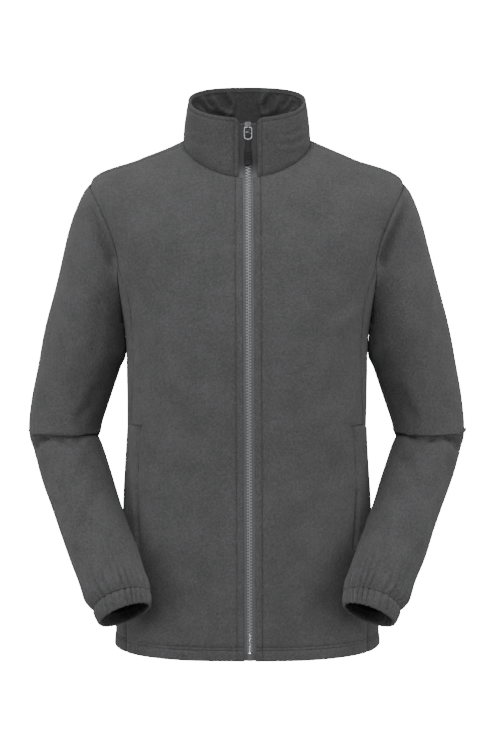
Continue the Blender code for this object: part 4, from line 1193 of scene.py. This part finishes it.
class Finish:
    """A material under construction."""

    def __init__(self, name, **sockets):
        material = bpy.data.materials.new(name)
        material.use_nodes = True
        self.tree = material.node_tree
        self.shader = self.tree.nodes["Principled BSDF"]
        for key, value in sockets.items():
            name = key.replace("_", " ").title().replace("Ior", "IOR")
            self.shader.inputs[name].default_value = value
        self.place = self.node("ShaderNodeTexCoord", {}, {}, "Object")

    def node(self, kind, settings, values, output=0):
        """Add a node: its settings, then the values or links of its sockets.  One output."""
        node = self.tree.nodes.new(kind)
        for key, value in settings.items():
            setattr(node, key, value)
        for key, value in values.items():
            self.feed(node.inputs[key], value)
        return Link(self, node.outputs[output])

    def feed(self, socket, value):
        """Give a socket a value or a link."""
        if isinstance(value, Link):
            self.tree.links.new(value.socket, socket)
        else:
            socket.default_value = value

    def noise(self, feature, detail=2.0, roughness=0.5):
        """Unevenness with features of about a size, in metres."""
        return self.node("ShaderNodeTexNoise", {}, {"Vector": self.place, "Scale": 1.0 / feature,
                                                    "Detail": detail, "Roughness": roughness})

    def wave(self, direction, scale, distortion):
        """Fine parallel bands, as of yarns."""
        return self.node("ShaderNodeTexWave", {"bands_direction": direction}, {
            "Vector": self.place, "Scale": scale, "Distortion": distortion, "Detail": 1.0}, 1)

    def convex_edges(self, low, high):
        """1 where the surface is sharply convex."""
        return self.node("ShaderNodeNewGeometry", {}, {}, "Pointiness").between(low, high)

    def mix(self, share, low, high):
        """A colour between two colours."""
        return self.node("ShaderNodeMix", {"data_type": "RGBA"},
                         {"Factor": share, 6: low, 7: high}, 2)

    def tones(self, share, colour, low, high):
        """A colour between a darker and a lighter share of itself."""
        return self.mix(share, shade(colour, low), shade(colour, high))

    def surface(self, colour, roughness, height=None, depth=0.0, strength=1.0):
        """Feed the shader; a height between 0 and 1 stands for a depth in metres."""
        self.feed(self.shader.inputs["Base Color"], colour)
        self.feed(self.shader.inputs["Roughness"], roughness)
        if height:
            self.feed(self.shader.inputs["Normal"], self.node("ShaderNodeBump", {}, {
                "Height": height, "Distance": depth, "Strength": strength}))


def shade(colour, factor):
    """A lighter or darker colour."""
    return tuple(min(part * factor, 1.0) for part in colour[:3]) + (1.0,)


def fleece_finish(sizes, name, darker):
    """Short napped fleece: matted tufts, fine pile and soft unevenness of the dye."""
    nap = sizes.nap_size
    made = Finish(name, roughness=0.95, specular_ior_level=0.15, sheen_weight=0.12,
                  sheen_roughness=0.45)
    tufts = made.noise(nap, 3.0, 0.62)
    knots = made.noise(nap * 0.45, 2.0, 0.6)
    pile = made.noise(nap * 0.16, 2.0, 0.6)
    patches = made.noise(nap * 14, 3.0, 0.55)
    tone = (tufts * 0.50 + knots * 0.30 + patches * 0.20).between(0.36, 0.64)
    # Shares below 1 darken the copies for the collar and the inner faces: painted shade.
    colour = made.tones(tone, sizes.fleece_colour, 0.78 * darker, 1.24 * darker)
    made.surface(colour, 0.88 + tufts * 0.10, tufts * 0.60 + knots * 0.28 + pile * 0.12,
                 0.0022, 0.7)


def thread_finish(sizes):
    """Spun polyester sewing thread."""
    made = Finish("sewing_thread", specular_ior_level=0.3, sheen_weight=0.1)
    twist = made.noise(0.0006, 1.0)
    made.surface(made.tones(twist, sizes.thread_colour, 0.7, 1.25), 0.6 + twist * 0.2,
                 twist, 0.0003, 0.6)


def tape_finish(sizes):
    """Woven zip tape: a fine herringbone, with painted shade up in the collar where less light
    reaches it.
    """
    made = Finish("woven_tape", specular_ior_level=0.25, sheen_weight=0.08)
    cloth = made.wave("DIAGONAL", 420.0, 1.2) * 0.5 + made.wave("Z", 330.0, 0.6) * 0.5
    colour = made.tones(made.noise(0.02) * 0.3 + cloth * 0.7, sizes.tape_colour, 0.72, 1.3)
    height = made.node("ShaderNodeSeparateXYZ", {}, {"Vector": made.place}, "Z")
    # Painted shade: darker above the neck, in the collar's recess.
    colour = made.mix(height.between(-0.060, -0.030) * 0.75, colour,
                      shade(sizes.tape_colour, 0.12))
    made.surface(colour, 0.8 + cloth * 0.1, cloth, 0.0003, 0.7)


def bag_finish(sizes):
    """Light knitted lining of the pocket bags."""
    made = Finish("bag_lining", specular_ior_level=0.2, sheen_weight=0.1)
    knit = made.wave("X", 260.0, 0.8) * 0.6 + made.wave("Z", 200.0, 0.8) * 0.4
    made.surface(made.tones(knit, sizes.fleece_colour, 0.5, 0.95), 0.82 + knit * 0.1,
                 knit, 0.0003, 0.6)


def teeth_finish(sizes, name, darker):
    """Moulded acetal with a metallic grey tint, a little lighter on its sharply convex edges."""
    made = Finish(name, specular_ior_level=0.4)
    cloud, grain = made.noise(0.004, 3.0), made.noise(0.0005)
    tint = shade(sizes.teeth_colour, darker)
    colour = made.tones(cloud * 0.6 + grain * 0.4, tint, 0.8, 1.15)
    colour = made.mix(made.convex_edges(0.49, 0.56) * 0.35, colour, shade(tint, 1.3))
    made.surface(colour, 0.30 + grain * 0.15, grain, 0.0001, 0.4)


def slider_finish(sizes):
    """Die-cast metal, plated dark, with a lighter steel colour on its sharp edges."""
    made = Finish("plated_metal", metallic=1.0)
    cloud = made.noise(0.003, 3.0)
    colour = made.tones(cloud, sizes.slider_colour, 0.75, 1.2)
    colour = made.mix(made.convex_edges(0.50, 0.60) * 0.3, colour, shade(sizes.loop_colour, 1.0))
    made.surface(colour, 0.20 + cloud * 0.16, made.noise(0.0004), 0.00008, 0.4)


def loop_finish(sizes):
    """Polished steel wire with faint drawing marks."""
    made = Finish("steel_wire", metallic=1.0)
    marks = made.noise(0.0005, 2.0, 0.6)
    made.surface(made.tones(marks, sizes.loop_colour, 0.85, 1.1), 0.10 + marks * 0.14,
                 marks, 0.00005, 0.4)


def puller_finish(sizes):
    """Black moulded rubbery plastic with a spark-eroded grain."""
    made = Finish("black_plastic", specular_ior_level=0.25)
    grain = made.noise(0.0004, 2.0, 0.6)
    made.surface(made.tones(made.noise(0.006), sizes.puller_colour, 0.8, 1.5),
                 0.38 + grain * 0.2, grain, 0.00012, 0.6)


def paper_finish(name, colour, glow):
    """Seamless studio paper, lit evenly."""
    made = Finish(name, specular_ior_level=0.0, emission_strength=glow, emission_color=colour)
    paper = made.noise(0.4)
    made.surface(made.tones(paper, colour, 0.985, 1.0), 0.9 + paper * 0.05)


def made_twice(make, stem):
    """Make a piece for the wearer's left and for the right."""
    for hand, end in ((1, "_left"), (-1, "_right")):
        make(hand, stem + end)
    return {"FINISHED"}


def number(name, text, value, low, high, **kind):
    """A number that a user would change."""
    return bpy.props.FloatProperty(name=name, description=text, default=value, min=low, max=high,
                                   **kind)


def colour(name, text, *value):
    """A colour that a user would change."""
    return bpy.props.FloatVectorProperty(name=name, description="Colour of " + text,
                                         default=value, subtype="COLOR", size=3, min=0.0, max=1.0)


class JacketSizes(bpy.types.PropertyGroup):
    """Sizes and colours that a user would change."""

    crease_share: number("Crease depth", "Share of the depth of every fold and crease",
                         1.0, 0.0, 2.0, subtype="FACTOR")
    nap_size: number("Nap size", "Size of the matted tufts on the fleece",
                     0.0028, 0.001, 0.02, unit="LENGTH")
    stitch_pitch: number("Stitch pitch", "Distance from stitch to stitch in the topstitching",
                         0.0033, 0.0015, 0.008, unit="LENGTH")
    tooth_pitch: number("Tooth pitch", "Distance from tooth to tooth in one row",
                        0.0041, 0.002, 0.01, unit="LENGTH")
    fleece_colour: colour("Fleece", "the fleece", 0.082, 0.082, 0.084)
    thread_colour: colour("Thread", "the topstitching thread", 0.036, 0.036, 0.038)
    tape_colour: colour("Zip tape", "the woven zip tape", 0.158, 0.159, 0.165)
    teeth_colour: colour("Teeth", "the moulded teeth", 0.29, 0.295, 0.305)
    slider_colour: colour("Slider", "the dark plating on the slider", 0.036, 0.036, 0.039)
    loop_colour: colour("Loop", "the polished wire loop", 0.42, 0.42, 0.43)
    puller_colour: colour("Puller", "the moulded puller", 0.005, 0.005, 0.0055)


class StageSizes(bpy.types.PropertyGroup):
    """Light and floor of the studio."""

    key_power: number("Key light", "Power of the large soft light in front",
                      66.0, 0.0, 2000.0, unit="POWER")
    top_power: number("Top light", "Power of the soft light overhead",
                      26.0, 0.0, 2000.0, unit="POWER")
    side_power: number("Side lights", "Power of the soft light on either side",
                       31.0, 0.0, 2000.0, unit="POWER")
    ambient: number("Ambient", "Brightness of the light from all round", 0.35, 0.0, 5.0)
    paper_colour: colour("Paper", "floor and background", 0.93, 0.93, 0.93)
    floor_radius: number("Floor radius", "Radius of the floor", 11.0, 2.0, 50.0, unit="LENGTH")


class JACKET_OT_finishes(bpy.types.Operator):
    """Mix the finishes of cloth, thread, zip and pull"""

    bl_idname = "jacket.finishes"
    bl_label = "Mix finishes"

    def execute(self, context):
        sizes = context.scene.jacket_sizes
        for name, darker in FLEECES:
            fleece_finish(sizes, name, darker)
        for name, darker in MOULDED:
            teeth_finish(sizes, name, darker)
        for mix in (thread_finish, tape_finish, bag_finish, slider_finish, loop_finish,
                    puller_finish):
            mix(sizes)
        return {"FINISHED"}


class JACKET_OT_fronts(bpy.types.Operator):
    """Cut and sew both front panels with their hems, pocket mouths and pocket bags"""

    bl_idname = "jacket.fronts"
    bl_label = "Fronts and pockets"

    def execute(self, context):
        return made_twice(front_piece, "front")


class JACKET_OT_back(bpy.types.Operator):
    """Cut and sew the back panel"""

    bl_idname = "jacket.back"
    bl_label = "Back"

    def execute(self, context):
        back_piece("back")
        return {"FINISHED"}


class JACKET_OT_sides(bpy.types.Operator):
    """Cut and sew both under-arm panels"""

    bl_idname = "jacket.sides"
    bl_label = "Side panels"

    def execute(self, context):
        return made_twice(side_piece, "side")


class JACKET_OT_sleeves(bpy.types.Operator):
    """Cut and sew both sleeves"""

    bl_idname = "jacket.sleeves"
    bl_label = "Sleeves"

    def execute(self, context):
        return made_twice(sleeve_piece, "sleeve")


class JACKET_OT_cuffs(bpy.types.Operator):
    """Gather both elastic cuffs"""

    bl_idname = "jacket.cuffs"
    bl_label = "Cuffs"

    def execute(self, context):
        return made_twice(cuff_piece, "cuff")


class JACKET_OT_collar(bpy.types.Operator):
    """Sew the doubled stand-up collar"""

    bl_idname = "jacket.collar"
    bl_label = "Collar"

    def execute(self, context):
        collar_piece("collar")
        return {"FINISHED"}


class JACKET_OT_zip(bpy.types.Operator):
    """Set the zip: tapes, teeth, retainer box and slider"""

    bl_idname = "jacket.zip"
    bl_label = "Zip"

    def execute(self, context):
        made_twice(tape_piece, "zip_tape")
        made_twice(teeth_piece, "zip_chain")
        moulding("zip_box_moulding", BODY_LOOPS[-1, 4] + ZIP_FOOT + BOX_HEIGHT / 2, BOX_BLOCKS,
                 "moulded_box", "teeth", "zip_box")
        moulding("zip_slider_body", SLIDER_Z, SLIDER_BLOCKS, "plated_metal", "slider_metal",
                 "zip_slider")
        return {"FINISHED"}


class JACKET_OT_pull(bpy.types.Operator):
    """Hang the loop and the puller on the slider"""

    bl_idname = "jacket.pull"
    bl_label = "Loop and puller"

    def execute(self, context):
        loop_piece()
        puller_piece()
        return {"FINISHED"}


class JACKET_OT_stage(bpy.types.Operator):
    """Lay the studio floor, set the lights and place the camera"""

    bl_idname = "jacket.stage"
    bl_label = "Studio stage"

    def execute(self, context):
        stage = context.scene.jacket_stage
        lay_floor(stage)
        light_studio(stage)
        light_air(stage)
        place_camera()
        return {"FINISHED"}


class JACKET_PT_pieces(bpy.types.Panel):
    """Pieces of the jacket and their sizes"""

    bl_idname = "JACKET_PT_pieces"
    bl_label = "Fleece zip jacket"
    bl_space_type = "VIEW_3D"
    bl_region_type = "UI"
    bl_category = "Jacket"

    def draw(self, context):
        for group in (context.scene.jacket_sizes, context.scene.jacket_stage):
            for key in group.__annotations__:
                self.layout.prop(group, key)
        for operator in OPERATORS:
            self.layout.operator(operator.bl_idname)


def lay_floor(stage):
    """A large pale disc under the jacket."""
    paper_finish("floor_paper", tuple(stage.paper_colour) + (1.0,), PAPER_GLOW)
    made = bmesh.new()
    bmesh.ops.create_circle(made, cap_ends=True, segments=128, radius=stage.floor_radius)
    bmesh.ops.translate(made, verts=made.verts, vec=(0, 0, FLOOR_Z))
    floor = finished("studio_floor", made, "floor_paper")
    floor.visible_diffuse = floor.visible_glossy = False


def light_studio(stage):
    """A broad key light in front and above, a soft top light and one on either side."""
    side_place, side_size = SIDE_LAMP
    lamps = [("key_light", stage.key_power, *KEY_LAMP), ("top_light", stage.top_power, *TOP_LAMP)]
    for hand, name in ((1, "side_left_light"), (-1, "side_right_light")):
        lamps.append((name, stage.side_power, (hand * side_place[0], *side_place[1:]), side_size))
    for name, watts, place, across in lamps:
        light = bpy.data.lights.new(name, "AREA")
        light.energy, light.size = watts, across
        lamp = bpy.data.objects.new(name, light)
        lamp.location = place
        ahead = Vector(CAMERA_TARGET) - Vector(place)
        lamp.rotation_euler = ahead.to_track_quat("-Z", "Y").to_euler()
        bpy.context.scene.collection.objects.link(lamp)


def light_air(stage):
    """A low even light from all round, behind which the background shows bright."""
    world = bpy.data.worlds.new("studio_air")
    world.use_nodes = True
    tree = world.node_tree
    choose = tree.nodes.new("ShaderNodeMixShader")
    path = tree.nodes.new("ShaderNodeLightPath")
    tree.links.new(path.outputs["Is Camera Ray"], choose.inputs[0])
    looks = ((tree.nodes["Background"], tuple(stage.paper_colour) + (1.0,), stage.ambient),
             (tree.nodes.new("ShaderNodeBackground"), (1.0, 1.0, 1.0, 1.0), PAPER_GLOW))
    for k, (node, tint, strength) in enumerate(looks):
        node.inputs["Color"].default_value = tint
        node.inputs["Strength"].default_value = strength
        tree.links.new(node.outputs[0], choose.inputs[k + 1])
    tree.links.new(choose.outputs[0], tree.nodes["World Output"].inputs[0])
    bpy.context.scene.world = world


def place_camera():
    """A long lens, a little above the middle of the jacket, looking slightly down."""
    camera = bpy.data.cameras.new("camera")
    camera.sensor_width = SENSOR
    camera.lens = SENSOR * CAMERA_DISTANCE / (PICTURE_HEIGHT * METRES_PER_PIXEL)
    eye = bpy.data.objects.new("camera", camera)
    tilt = math.radians(CAMERA_ELEVATION)
    away = Vector((0, -math.cos(tilt), math.sin(tilt))) * CAMERA_DISTANCE
    eye.location = Vector(CAMERA_TARGET) + away
    eye.rotation_euler = (math.pi / 2 - tilt, 0, 0)
    bpy.context.scene.collection.objects.link(eye)
    bpy.context.scene.camera = eye


OPERATORS = (JACKET_OT_finishes, JACKET_OT_fronts, JACKET_OT_back, JACKET_OT_sides,
             JACKET_OT_sleeves, JACKET_OT_cuffs, JACKET_OT_collar, JACKET_OT_zip,
             JACKET_OT_pull, JACKET_OT_stage)
CLASSES = (JacketSizes, StageSizes) + OPERATORS + (JACKET_PT_pieces,)


def register():
    """Make the classes and their settings known."""
    for kind in CLASSES:
        bpy.utils.register_class(kind)
    bpy.types.Scene.jacket_sizes = bpy.props.PointerProperty(type=JacketSizes)
    bpy.types.Scene.jacket_stage = bpy.props.PointerProperty(type=StageSizes)


def unregister():
    """Forget them again."""
    del bpy.types.Scene.jacket_stage
    del bpy.types.Scene.jacket_sizes
    for kind in reversed(CLASSES):
        bpy.utils.unregister_class(kind)


def main():
    """Dress the jacket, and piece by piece."""
    register()
    for operator in OPERATORS:
        group, name = operator.bl_idname.split(".")
        getattr(getattr(bpy.ops, group), name)()


if __name__ == "__main__":
    main()
